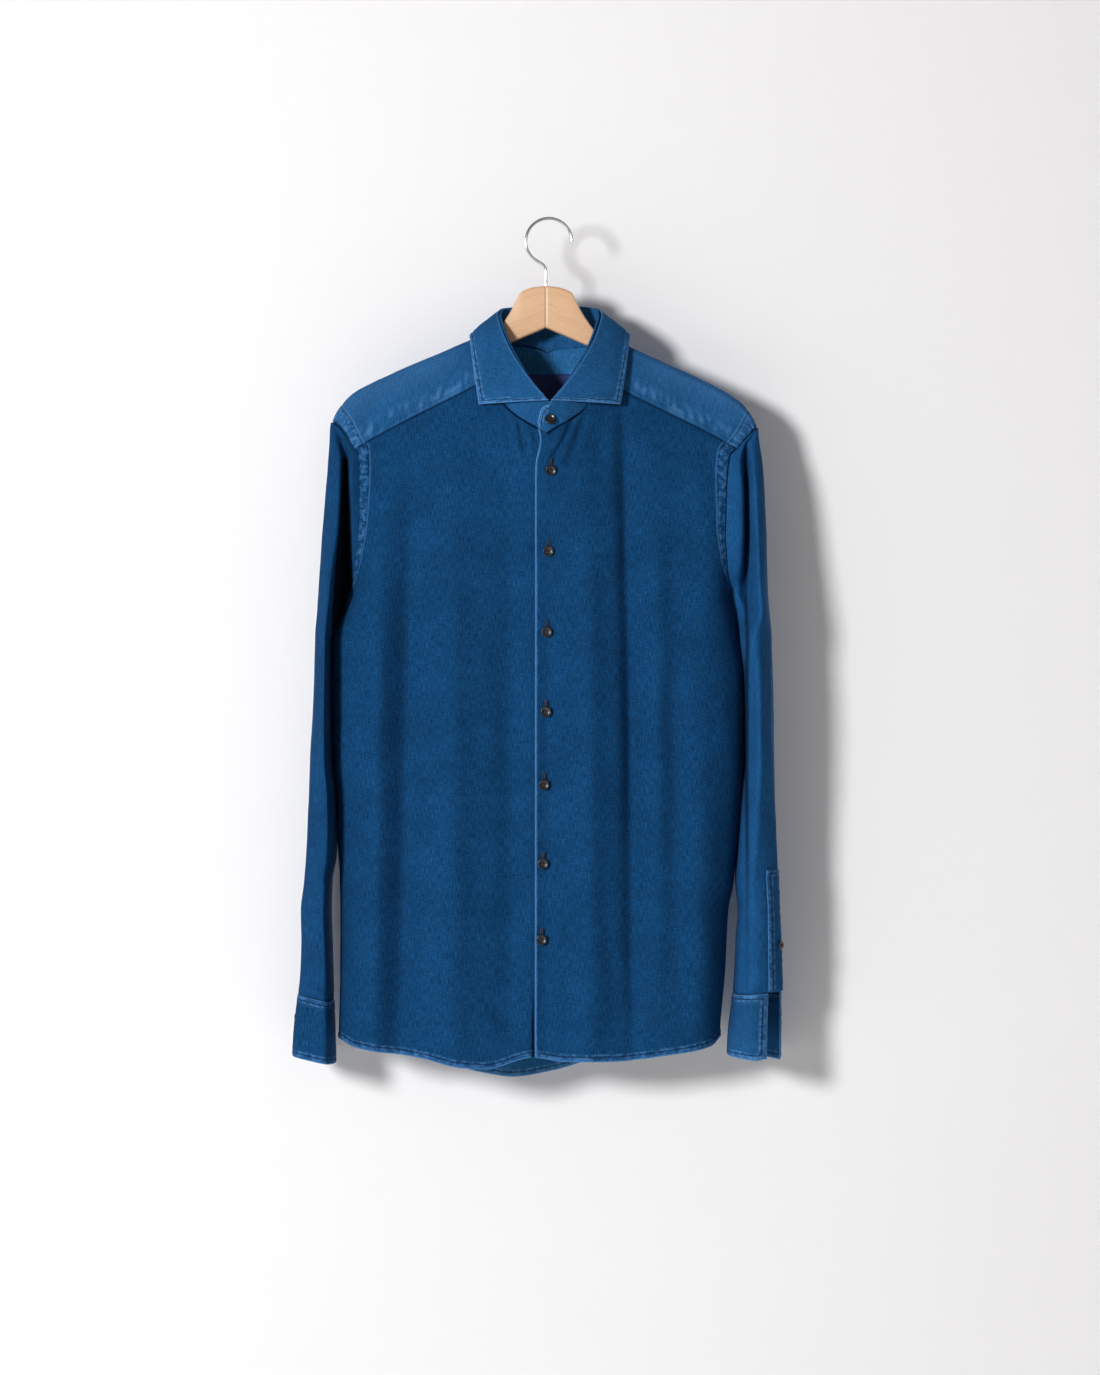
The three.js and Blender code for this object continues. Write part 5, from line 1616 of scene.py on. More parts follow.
class Back:
    """The back, from one armhole and side seam to the other."""

    def __init__(self, fronts: Fronts, finish: bpy.types.Material, reverse: bpy.types.Material) -> None:
        """Keeps the fronts, whose edges it shares, and the denim with its reverse.

        Args:
            fronts: The fronts.
            finish: The denim.
            reverse: Its reverse.
        """
        self.fronts = fronts
        self.finish = finish
        self.reverse = reverse

    def build(self) -> bpy.types.Object:
        """Builds the back.

        Returns:
            The back.
        """
        face = Face.BACK
        start_z = YOKE_CORNER_Z - SEAM_GAP / 2
        ends = {side: BODY.hem[face](side.value * BODY.edge[side](-835)) for side in Side}
        finer = spaced([(0, 0), (0.05, 0.025), (0.95, 0.975), (1, 1)])

        @cache
        def known(s: float, t: float) -> tuple[float, float, float, float]:
            """Gives the place over the cloth, the hem's height and the distance to the edge.

            Args:
                s: Share across, from 0 to 1.
                t: Share down, from 0 to 1.

            Returns:
                The place over the cloth, the height, the hem's height and the distance to the edge.
            """
            wide = finer(s)
            low = lerp(*(self.fronts.outer_over(face, side, ends[side]) for side in Side), wide)
            hem = BODY.hem[face](BODY.point(face, low, -850).x)
            if s <= 0 or s >= 1:
                hem = ends[Side.LEFT if s <= 0 else Side.RIGHT]
            z = lerp(start_z, hem, finer(t))
            left, right = (self.fronts.outer_over(face, side, z) for side in Side)
            over = lerp(left, right, wide)
            return over, z, hem, min(over - left, right - over)

        def place(s: float, t: float) -> Vector:
            """Gives the point of the form with its creases.

            Args:
                s: Share across, from 0 to 1.
                t: Share down, from 0 to 1.

            Returns:
                The point, in millimetres.
            """
            over, z, _, _ = known(s, t)
            point = BODY.point(face, over, z)
            pressed = sum(crease.press(point.x, z) for crease in CREASES[face])
            point.y -= pressed * smooth((220 - abs(over)) / 40)
            return point

        def marks(s: float, t: float) -> Marks:
            """Gives the distances that the cloth's wear is drawn from.

            Args:
                s: Share across, from 0 to 1.
                t: Share down, from 0 to 1.

            Returns:
                The marks, in the order of MARK_NAMES.
            """
            _, z, hem, out = known(s, t)
            armhole = max(0.0, min(out, FAR)) if z > ARMPIT_Z else FAR
            seam = min(start_z - z, FAR if z > ARMPIT_Z else out, FAR)
            return min(z - hem, FAR), armhole, 0.0, max(0.0, seam)

        def relief(s: float, t: float) -> float:
            """Gives the small relief of the back.

            Args:
                s: Share across, from 0 to 1.
                t: Share down, from 0 to 1.

            Returns:
                How far the cloth stands out.
            """
            over, z, low, out = known(s, t)
            hem, top = z - low, start_z - z
            lift = body_wander(over, z, 17.3) * (0.35 + 0.65 * smooth(min(hem, top, out) / 14))
            return lift + lower_body_relief(hem, top, out, over, z, (41, 47, 53))

        return Cloth(
            name="back_panel", columns=150, rows=190, place=place,
            flat=lambda s, t: known(s, t)[:2], marks=marks, relief=relief,
            core=upright_core(0),
        ).build(self.finish, self.reverse)


def arc_to_drop(arc: float) -> float:
    """Turns a distance over the shoulder's round into a drop below the shoulder line.

    Args:
        arc: The distance.

    Returns:
        The drop, without a sign.
    """
    quarter = RIDGE_RADIUS * math.pi / 2
    if abs(arc) < quarter:
        return RIDGE_RADIUS * (1 - math.cos(abs(arc) / RIDGE_RADIUS))
    return RIDGE_RADIUS + abs(arc) - quarter


def drop_to_arc(drop: float) -> float:
    """Turns a drop below the shoulder line into the distance over the shoulder's round.

    Args:
        drop: The drop, without a sign.

    Returns:
        The distance.
    """
    quarter = RIDGE_RADIUS * math.pi / 2
    if drop < RIDGE_RADIUS:
        return RIDGE_RADIUS * math.acos(1 - drop / RIDGE_RADIUS)
    return quarter + drop - RIDGE_RADIUS


class Yoke:
    """The yoke over both shoulders and across the back, in two halves that meet behind the neck."""

    def __init__(self, finish: bpy.types.Material, reverse: bpy.types.Material) -> None:
        """Keeps the denim and its reverse."""
        self.finish = finish
        self.reverse = reverse

    def line(self, side: Side, share: float) -> tuple[float, float, float, float, bool]:
        """Gives one line of the yoke, from the neck out to its edge.

        Args:
            side: Which half.
            share: 0 at the front seam, 1 at the back centre.

        Returns:
            The neck end's x and drop, the outer end's x and drop, and whether that is the armhole.
        """
        corner_x, corner_drop = BODY.yoke_corner(side)
        reach = drop_to_arc(corner_drop)
        if share <= YOKE_ARMHOLE_SHARE:
            arc = lerp(-reach, reach, share / YOKE_ARMHOLE_SHARE)
            drop = arc_to_drop(arc)
            part = drop / corner_drop
            end_turn = NECK_CORNER_TURN if arc < 0 else BACK_NECK_TURN
            neck_x, neck_drop = NECK.line(lerp(0.5, end_turn, clamp(part)))
            x = corner_x if part > 0.9999 else BODY.armhole_at_drop(side, drop)[0]
            return side.value * neck_x, neck_drop, x, math.copysign(drop, arc), True
        part = (share - YOKE_ARMHOLE_SHARE) / (1 - YOKE_ARMHOLE_SHARE)
        neck_x, neck_drop = NECK.line(lerp(BACK_NECK_TURN, 1, part))
        x = corner_x * (1 - part)
        return side.value * neck_x, neck_drop, x, BODY.ridge(x) - YOKE_CORNER_Z, False

    def build(self) -> bpy.types.Object:
        """Builds the yoke as one piece.

        Returns:
            The yoke.
        """
        corner = {side: BODY.yoke_corner(side) for side in Side}

        @cache
        def known(s: float, t: float) -> tuple[float, float, float, float, float]:
            """Gives the place (x, drop) and its distances to the armhole, the lower seam and the neck.

            Args:
                s: Share across, from 0 to 1.
                t: Share down, from 0 to 1.

            Returns:
                The place across, the drop and the three distances.
            """
            side = Side.LEFT if s < 0.5 else Side.RIGHT
            share = s * 2 if s < 0.5 else (1 - s) * 2
            neck_x, neck_drop, out_x, out_drop, on_armhole = self.line(side, share)
            lower = out_drop
            if share <= 0 or not on_armhole:
                lower += -SEAM_GAP / 2 if out_drop > 0 else SEAM_GAP / 2
            if share <= 0:
                neck_drop += SEAM_GAP / 2
            inset = SLEEVE_GAP / 2 if on_armhole and t >= 1 else 0
            x = lerp(neck_x, out_x, t) - math.copysign(inset, out_x)
            drop = lerp(neck_drop, lower, t)
            length = math.hypot(out_x - neck_x, out_drop - neck_drop)
            armhole = (1 - t) * length if on_armhole else 99.0
            seam_x, seam_drop = corner[side]
            if drop < 0:
                along = clamp((abs(x) - 56.5) / (abs(seam_x) - 56.5))
                lower_gap = abs(lerp(50, seam_drop, along) + drop) * 0.93
            else:
                lower_gap = BODY.ridge(x) - drop - YOKE_CORNER_Z
            return x, drop, armhole, max(lower_gap, 0.0), t * length

        def place(s: float, t: float) -> Vector:
            """Gives the point on the shoulders."""
            return BODY.shoulder(*known(s, t)[:2])

        def flat(s: float, t: float) -> tuple[float, float]:
            """Gives the cloth's own place: across, and round over the shoulder."""
            x, drop = known(s, t)[:2]
            return x + 900, math.copysign(drop_to_arc(abs(drop)), drop) - 0.42 * abs(x)

        def puckered(x: float, drop: float) -> float:
            """Gives the uneven puckers above the yoke's seams."""
            return wander(x / 5.5, drop / 14, 61)

        def marks(s: float, t: float) -> Marks:
            """Gives the distances that the cloth's wear is drawn from.

            Args:
                s: Share across, from 0 to 1.
                t: Share down, from 0 to 1.

            Returns:
                The marks, in the order of MARK_NAMES.
            """
            x, drop, armhole, lower, _ = known(s, t)
            wear_and_shade = 0.16 * bump(drop + 4, 22) * smooth((abs(x) - 70) / 60)
            if drop < 0:
                pucker = clamp(puckered(x, drop) * 2.4 + 0.2)
                wear_and_shade = max(wear_and_shade, 0.4 * pucker * bump(lower - 9, 8) * smooth((abs(x) - 60) / 20))
            return FAR, min(armhole, FAR), wear_and_shade, min(lower, abs(lower - 5) + 0.6, FAR)

        def relief(s: float, t: float) -> float:
            """Gives the small relief of the yoke: puckers above the front seam, a flat-felled armhole.

            Args:
                s: Share across, from 0 to 1.
                t: Share down, from 0 to 1.

            Returns:
                How far the cloth stands out.
            """
            x, drop, armhole, lower, neck = known(s, t)
            lift = 0.5 * body_wander(x, drop * 2, 71)
            if lower < 30:
                lift += 0.8 * puckered(x, drop) * bump(lower - 8, 9)
                lift += stitched(lower, 1.8) + 0.3 * smooth((3 - lower) / 3)
            if armhole < 26:
                lift += seam_ripple(abs(armhole - 4), drop * 1.4, 6, 83) + stitched(armhole, SEAM_STITCH)
                lift += 0.55 * smooth((9 - armhole) / 2)
            if neck < 12:
                lift -= 0.5 * bump(neck, 4)
            return lift

        return Cloth(
            name="shoulder_yoke", columns=300, rows=84, place=place, flat=flat, marks=marks, relief=relief,
            core=lambda point: Vector((point.x * 0.9, 0, min(point.z - 30, -150))),
        ).build(self.finish, self.reverse)


def folded_turn(along: float) -> float:
    """Turns a way along the collar, from 0 over the back centre at 1 to 2, into a signed turn."""
    return -along if along < 1 else 2 - along


class Collar:
    """The band round the neck and the spread leaf turned down over it."""

    def __init__(self, finish: bpy.types.Material) -> None:
        """Keeps the denim, which is paler here."""
        self.finish = finish

    def band(self) -> bpy.types.Object:
        """Builds the band, whose left end steps back under the right one.

        Returns:
            The band.
        """
        under_turn, over_turn = NECK.turn_at(15), -NECK.turn_at(10)
        last = 2 - over_turn

        def signed(s: float, t: float = 1.0) -> float:
            """Gives the signed turn for a share along the band, whose over end is cut round."""
            cut = 0.085 * max(0.0, 1 - t / 0.6) ** 2 + 0.015 * max(0.0, (t - 0.8) / 0.2) ** 2
            return folded_turn(lerp(-under_turn, last - cut, s))

        def back(s: float) -> float:
            """Gives how far the band steps back at a share along it."""
            along = lerp(-under_turn, last, s)
            return (DOUBLE_CLOTH + LAP_GAP) * smooth((-along + 0.24) / 0.13) if along < 1 else 0.0

        def place(s: float, t: float) -> Vector:
            """Gives the point between the neckline and the fold.

            Args:
                s: Share along, from 0 to 1.
                t: Share down, from 0 to 1.

            Returns:
                The point, in millimetres.
            """
            turn = signed(s, t)
            neck, fold = NECK.base(turn), NECK.fold(turn)
            start = neck + (fold - neck).normalized() * (0.8 - 2.4 * smooth((turn - 0.6) / 0.1))
            point = start.lerp(fold, 1 - t)
            point.y += back(s)
            return point

        def marks(s: float, t: float) -> Marks:
            """Gives the distances that the cloth's wear is drawn from.

            Args:
                s: Share along, from 0 to 1.
                t: Share down, from 0 to 1.

            Returns:
                The marks, in the order of MARK_NAMES.
            """
            turn = signed(s)
            height = (NECK.fold(turn) - NECK.base(turn)).length
            inside = smooth((abs(turn) - 0.5) / 0.1)
            return min(min(s, 1 - s) * BAND_LENGTH, FAR), FAR, 0.0, min((1 - t) * height + inside, FAR)

        def relief(s: float, t: float) -> float:
            """Gives the small relief of the band.

            Args:
                s: Share along, from 0 to 1.
                t: Share down, from 0 to 1.

            Returns:
                How far the cloth stands out.
            """
            lift = 0.35 * wander(s * 40, t * 3, 91)
            lift += 0.5 * seam_ripple(BAND_TALL * (1 - t), s * BAND_LENGTH, 5, 93)
            return lift - 0.4 * smooth((2.5 - min(s, 1 - s) * BAND_LENGTH) / 2.5)

        return Cloth(
            name="collar_band", columns=230, rows=22, place=place,
            flat=lambda s, t: (s * BAND_LENGTH + 1400, BAND_TALL * (1 - t)), marks=marks, relief=relief,
            core=upright_core(COLLAR_CENTRE_X), thickness=DOUBLE_CLOTH,
        ).build(self.finish)

    def leaf(self) -> bpy.types.Object:
        """Builds the leaf, stitched all round a little inside its edge.

        Returns:
            The leaf.
        """
        front = 0.012

        def signed(s: float) -> float:
            """Gives the signed turn for a share along the leaf."""
            return folded_turn(lerp(front, 2 - front, s))

        def place(s: float, t: float) -> Vector:
            """Gives the point between the fold and the edge.

            Args:
                s: Share along, from 0 to 1.
                t: Share down, from 0 to 1.

            Returns:
                The point, in millimetres.
            """
            turn = signed(s)
            fold, edge = NECK.fold(turn), NECK.leaf_edge(turn)
            out = fold - Vector((COLLAR_CENTRE_X, -5, fold.z))
            out.z = 0
            out.normalize()
            fold += out * 2.6
            point = fold.lerp(edge, t)
            return point + out * (3.2 * math.sin(math.pi * t))

        def edges(s: float, t: float) -> tuple[float, float]:
            """Gives the distances to the long outer edge and to the nearest front edge.

            Args:
                s: Share along, from 0 to 1.
                t: Share down, from 0 to 1.

            Returns:
                Both distances.
            """
            turn = signed(s)
            fall = (NECK.leaf_edge(turn) - NECK.fold(turn)).length
            return (1 - t) * fall, max((abs(turn) - front) * (300 if t < 0.5 else 180), 0.0)

        def marks(s: float, t: float) -> Marks:
            """Gives the distances that the cloth's wear is drawn from."""
            return min(*edges(s, t), FAR), FAR, 0.35 * bump(t, 0.03), FAR

        def relief(s: float, t: float) -> float:
            """Gives the small relief of the leaf: fused cloth that puckers inside its stitched edge.

            Args:
                s: Share along, from 0 to 1.
                t: Share down, from 0 to 1.

            Returns:
                How far the cloth stands out.
            """
            near = min(edges(s, t))
            lift = 0.3 * wander(s * 46, t * 5, 101)
            lift += stitched(near, EDGE_STITCH) + 0.35 * smooth((6.2 - near) / 1.5)
            lift += 0.8 * seam_ripple(abs(near - 8), s * 420 + t * 60, 4.5, 103)
            return lift - 0.5 * smooth((1.2 - near) / 1.2)

        return Cloth(
            name="collar_leaf_piece", columns=230, rows=44, place=place,
            flat=lambda s, t: (s * 460 + 2000, -60 * t), marks=marks, relief=relief,
            core=upright_core(COLLAR_CENTRE_X), thickness=DOUBLE_CLOTH,
        ).build(self.finish)


class Sleeve:
    """One hanging sleeve with its placket and its double cuff."""

    def __init__(self, side: Side, cuff: dict[str, float], strip: tuple[float, float]) -> None:
        """Works out the sleeve's form.

        Args:
            side: Which sleeve.
            cuff: The cuff's sizes by name.
            strip: Where the placket lies round the sleeve, from and to.
        """
        self.side = side
        self.word = side.name.lower()
        self.form = SleeveForm(side)
        self.cuff_form = CuffForm(self.form, **cuff)
        self.strip = strip
        # Where the left sleeve's cloth is darkened as painted shade
        self.valley = [SHADED_VALLEY.curve("z", name) for name in ("inner", "outer")]
        self.tip = BODY.armhole_at_drop(side, 1)[1]

    def build(self, finish: bpy.types.Material) -> bpy.types.Object:
        """Builds the sleeve's tube, open at the armhole above the armpit.

        Args:
            finish: Its material.

        Returns:
            The tube.
        """
        # Heights by the share down, finer at the cap, with a row exactly at the armpit
        height = spaced(
            [(0, self.tip), (0.06, self.tip - 9), (0.14, -245), (0.36, ARMPIT_Z), (1, CUFF_SEAM_Z)]
        )

        def place(s: float, t: float) -> Vector:
            """Gives the point of the form.

            Args:
                s: Share round, from 0 to 1.
                t: Share down, from 0 to 1.

            Returns:
                The point, in millimetres.
            """
            z = height(t)
            point = self.form.point(s * 10, z)
            near = min(s, 1 - s)
            if z > ARMPIT_Z:
                tuck = clamp(1 - near / 0.008)
                point.x -= self.side.value * 1.9 * tuck
                point.y -= math.copysign(1.0, point.y - SLEEVE_BACK_Y) * tuck
            else:
                point.x -= self.side.value * 1.8 * bump(near * 10, 0.5) * bump(z - ARMPIT_Z + 14, 30)
            if t >= 1:
                point.z = self.cuff_form.top(point.x) + 0.3
            return point

        def seam_gap(s: float, t: float) -> float:
            """Gives the distance to the armhole seam.

            Args:
                s: Share round, from 0 to 1.
                t: Share down, from 0 to 1.

            Returns:
                The distance.
            """
            z = height(t)
            if z < ARMPIT_Z:
                return FAR + ARMPIT_Z - z
            return min(s, 1 - s) * 10 * 9 + 1

        def marks(s: float, t: float) -> Marks:
            """Gives the distances that the cloth's wear and painted shade are drawn from.

            Args:
                s: Share round, from 0 to 1.
                t: Share down, from 0 to 1.

            Returns:
                The marks, in the order of MARK_NAMES.
            """
            z = height(t)
            x = self.side.value * self.form.point(s * 10, z).x if s < 0.5 else 999.0
            wear_and_shade = 0.08 * bump(s * 10 - 5, 0.35)
            if self.side is Side.LEFT:
                # Painted shade: the cloth goes nearly black in the deep valley by the armhole
                inner, outer = (curve(z) for curve in self.valley)
                deep = smooth((outer - x) / 1.6) * smooth((x - inner) / 1.6)
                wear_and_shade -= 0.93 * deep * smooth((-243 - z) / 12)
            else:
                # Painted shade: a dark line where the sleeve meets the body, weaker lower down
                shade_fades = lerp(1, 0.35, smooth((-600 - z) / 200))
                wear_and_shade -= 0.7 * bump(x - 209.5, 2.4) * smooth((-228 - z) / 14) * shade_fades
            return FAR, FAR, wear_and_shade, min(seam_gap(s, t), FAR)

        def relief(s: float, t: float) -> float:
            """Gives the small relief of the sleeve.

            Args:
                s: Share round, from 0 to 1.
                t: Share down, from 0 to 1.

            Returns:
                How far the cloth stands out.
            """
            z, around = height(t), s * 10
            wave = math.cos(math.pi * (s - 0.5))
            lift = 0.9 * body_wander(around * 18, z, self.side.value * 13.7) * clamp(wave + 0.35)
            drift = self.side.value * 1.7
            for middle, start, end, width, depth in SLEEVE_CREASES.rows:
                along = (start - z) / (start - end)
                if 0 < along < 1:
                    centre = middle + 0.25 * math.sin(along * 3 + drift)
                    lift -= depth * math.sin(math.pi * along) * bump(around - centre, width)
            low = z - CUFF_SEAM_Z
            if low < 26:
                lift += seam_ripple(low, around * 22, 8, 113 + self.side.value) - 0.4 * smooth((3 - low) / 3)
            gap = seam_gap(s, t)
            if gap < 14:
                lift += 0.5 * seam_ripple(gap, z, 6, 117)
            lift += 0.7 * bump(min(s, 1 - s) * 10, 0.35) * valley_share(z)
            return lift * smooth((self.tip - z + 1) / 14)

        return Cloth(
            name=f"sleeve_{self.word}_tube", columns=100, rows=200, place=place,
            flat=lambda s, t: (s * 290 + 3000, height(t)), marks=marks, relief=relief,
            core=upright_core(self.side.value * SLEEVE_CORE_X, SLEEVE_BACK_Y),
        ).build(finish)

    def cuff(self, finish: bpy.types.Material) -> bpy.types.Object:
        """Builds the cuff, open where its two ends part.

        Args:
            finish: Its material.

        Returns:
            The cuff.
        """
        form = self.cuff_form

        def place(s: float, t: float) -> Vector:
            """Gives the point of the band.

            Args:
                s: Share round, from 0 to 1.
                t: Share down, from 0 to 1.

            Returns:
                The point, in millimetres.
            """
            around = lerp(form.open_to, 10 + form.open_from, s)
            point = form.point(around, t)
            end = min(s, 1 - s)
            part = form.spread * t * (1 - smooth(end * 6)) * (1 if s < 0.5 else -1)
            point.y += part * (0.6 if self.side is Side.LEFT else 1)
            point.z += bump(end * CUFF_ROUND, 7) * smooth((t - 0.8) / 0.2) * 3.5
            return point

        def distances(s: float, t: float) -> tuple[float, float]:
            """Gives the distances to the nearest free edge and to the seam above."""
            return min((1 - t) * CUFF_DROP, min(s, 1 - s) * CUFF_ROUND), t * CUFF_DROP

        def marks(s: float, t: float) -> Marks:
            """Gives the distances that the cloth's wear is drawn from."""
            near, top = distances(s, t)
            return min(near, top + 0.6), FAR, 0.1 * bump(top - 4, 5), abs(top - CUFF_STITCH) + 0.6

        def relief(s: float, t: float) -> float:
            """Gives the small relief of the cuff.

            Args:
                s: Share round, from 0 to 1.
                t: Share down, from 0 to 1.

            Returns:
                How far the cloth stands out.
            """
            near, top = distances(s, t)
            lift = 0.4 * wander(s * 16, t * 4, 121 + self.side.value)
            lift += stitched(near, EDGE_STITCH) + stitched(top, CUFF_STITCH)
            lift += 0.8 * seam_ripple(abs(near - 3), s * CUFF_ROUND + t * CUFF_DROP, 5, 123)
            lift += 0.8 * seam_ripple(abs(top - 4), s * CUFF_ROUND, 6, 127)
            return lift + 0.3 - 0.5 * smooth((1.2 - near) / 1.2)

        return Cloth(
            name=f"cuff_{self.word}_band", columns=120, rows=40, place=place,
            flat=lambda s, t: (s * CUFF_ROUND + 4000, -CUFF_DROP * t), marks=marks, relief=relief,
            core=upright_core(self.side.value * SLEEVE_CORE_X, SLEEVE_BACK_Y), thickness=DOUBLE_CLOTH,
        ).build(finish)

    def placket(self, finish: bpy.types.Material) -> bpy.types.Object:
        """Builds the bound opening above the cuff, raised from the sleeve's own points.

        Args:
            finish: Its material.

        Returns:
            The placket's strip.
        """
        core_x = self.side.value * 232

        def place(s: float, t: float) -> Vector:
            """Gives the point of the strip.

            Args:
                s: Share across, from 0 to 1.
                t: Share down, from 0 to 1.

            Returns:
                The point, in millimetres.
            """
            point = self.form.point(lerp(*self.strip, s), lerp(PLACKET_TOP_Z, PLACKET_LOW_Z, t))
            out = Vector((point.x - core_x, (point.y - SLEEVE_BACK_Y) * 0.12, 0)).normalized()
            return point + out * 1.7

        def near_edge(s: float, t: float) -> float:
            """Gives the distance to the nearest free edge."""
            return min(min(s, 1 - s) * PLACKET_WIDE, t * PLACKET_TALL)

        def marks(s: float, t: float) -> Marks:
            """Gives the distances that the cloth's wear is drawn from, and a mark that draws the whole strip
            a little darker.
            """
            return min(near_edge(s, t) + 1.1, FAR), FAR, -0.12, FAR

        def relief(s: float, t: float) -> float:
            """Gives the small relief of the strip.

            Args:
                s: Share across, from 0 to 1.
                t: Share down, from 0 to 1.

            Returns:
                How far the cloth stands out.
            """
            near = near_edge(s, t)
            lift = 0.3 * wander(s * 3, t * 18, 131) + stitched(near, PLACKET_STITCH)
            return lift + seam_ripple(near, t * PLACKET_TALL, 4, 133) * 0.5

        return Cloth(
            name=f"placket_{self.word}_strip", columns=18, rows=70, place=place,
            flat=lambda s, t: (s * PLACKET_WIDE + 5000, -PLACKET_TALL * t), marks=marks, relief=relief,
            core=upright_core(core_x, SLEEVE_BACK_Y), thickness=1.0,
        ).build(finish)


def neck_label(finish: bpy.types.Material) -> bpy.types.Object:
    """Builds the bare woven label, a little in front of the yoke's inner face.

    Args:
        finish: The tape.

    Returns:
        The label.
    """
    left, right, top, low = LABEL_SPOT

    def place(s: float, t: float) -> Vector:
        """Gives the point on the tape's outer (hidden) face.

        Args:
            s: Share across, from 0 to 1.
            t: Share down, from 0 to 1.

        Returns:
            The point, in millimetres.
        """
        point = BODY.point(Face.BACK, lerp(left, right, s), lerp(top, low, t))
        point.y -= CLOTH + SEAM_GAP + 0.25
        return point

    return Cloth(
        name="neck_label_tape", columns=30, rows=20, place=place,
        flat=lambda s, t: ((right - left) * s, (low - top) * t),
        marks=lambda s, t: (FAR, FAR, 0.0, FAR), relief=lambda s, t: 0.0,
        core=lambda point: Vector((point.x, 0, point.z)), thickness=0.6,
    ).build(finish)


def framed(point: Vector, outward: Vector, up: Vector) -> Matrix:
    """Gives the turn and place of something that sits on the cloth.

    Args:
        point: Where it sits, in millimetres.
        outward: The cloth's outward direction, which becomes the thing's Z.
        up: Roughly which way its Y goes.

    Returns:
        The matrix, from the thing's own millimetres to the scene's metres.
    """
    z = outward.normalized()
    x = up.cross(z).normalized()
    y = z.cross(x)
    turn = Matrix((x, y, z)).transposed().to_4x4()
    return Matrix.Translation(point * MM) @ turn @ Matrix.Scale(MM, 4)


def add_rod(bm: bmesh.types.BMesh, place: Matrix, flats: int, near: float, far: float, long: float) -> None:
    """Adds a short closed rod.

    Args:
        bm: The mesh that it joins.
        place: Its place and turn.
        flats: Flats round it.
        near: The radius of its near end.
        far: The radius of its far end.
        long: Its length.
    """
    bmesh.ops.create_cone(
        bm, cap_ends=True, segments=flats, radius1=near, radius2=far, depth=long, matrix=place
    )


@dataclass
class Button:
    """A four-hole button with a raised rim, sewn on with parallel threads."""

    radius: float = 5.6
    thickness: float = 2.6
    dish: float = 0.8
    rim: float = 1.3
    hole_out: float = 1.15

    def shell(self) -> bmesh.types.BMesh:
        """Builds the button's body by spinning its profile.

        Returns:
            The mesh, in the button's own millimetres.
        """
        r, h = self.radius, self.thickness
        floor = h - self.dish * 1.1
        profile = [
            (0, 0), (r * 0.8, 0), (r * 0.95, h * 0.2), (r, h * 0.5), (r * 0.97, h * 0.8),
            (r - self.rim * 0.45, h), (r - self.rim * 0.9, h * 0.96), (r - self.rim * 1.5, h - self.dish),
            (r * 0.4, floor), (0, floor),
        ]
        bm = bmesh.new()
        verts = [bm.verts.new((x, 0, z)) for x, z in profile]
        edges = [bm.edges.new(pair) for pair in zip(verts, verts[1:])]
        bmesh.ops.spin(
            bm, geom=verts + edges, cent=(0, 0, 0), axis=(0, 0, 1), angle=math.tau, steps=28, use_merge=True,
        )
        bmesh.ops.remove_doubles(bm, verts=bm.verts[:], dist=1e-4)
        bmesh.ops.recalc_face_normals(bm, faces=bm.faces[:])
        return bm

    def build(self, name: str, seat: Matrix, scale: float, finishes: "Finishes") -> list[bpy.types.Object]:
        """Builds one button with its holes and threads.

        Args:
            name: The button's name.
            seat: Where and how it sits.
            scale: Its size beside a front button.
            finishes: The finishes to take.

        Returns:
            The button and its threads.
        """
        seat = seat @ Matrix.Scale(scale, 4)
        bm = self.shell()
        bmesh.ops.transform(bm, matrix=seat, verts=bm.verts[:])
        body = finished(name, bm, finishes.horn)
        detail = bmesh.new()
        level = self.thickness - self.dish * 1.1
        columns = (-self.hole_out, self.hole_out)
        for x, y in product(columns, columns):
            add_rod(detail, Matrix.Translation((x, y, level + 0.02)), 12, 0.62, 0.55, 0.12)
        for x, shift in product(columns, (-0.24, 0.24)):
            bar = Matrix.Translation((x + shift, 0, level + 0.24)) @ Matrix.Rotation(math.pi / 2, 4, "X")
            add_rod(detail, bar, 7, 0.22, 0.22, 2.7)
        bmesh.ops.transform(detail, matrix=seat, verts=detail.verts[:])
        return [body, finished(f"{name}_thread", detail, finishes.thread)]


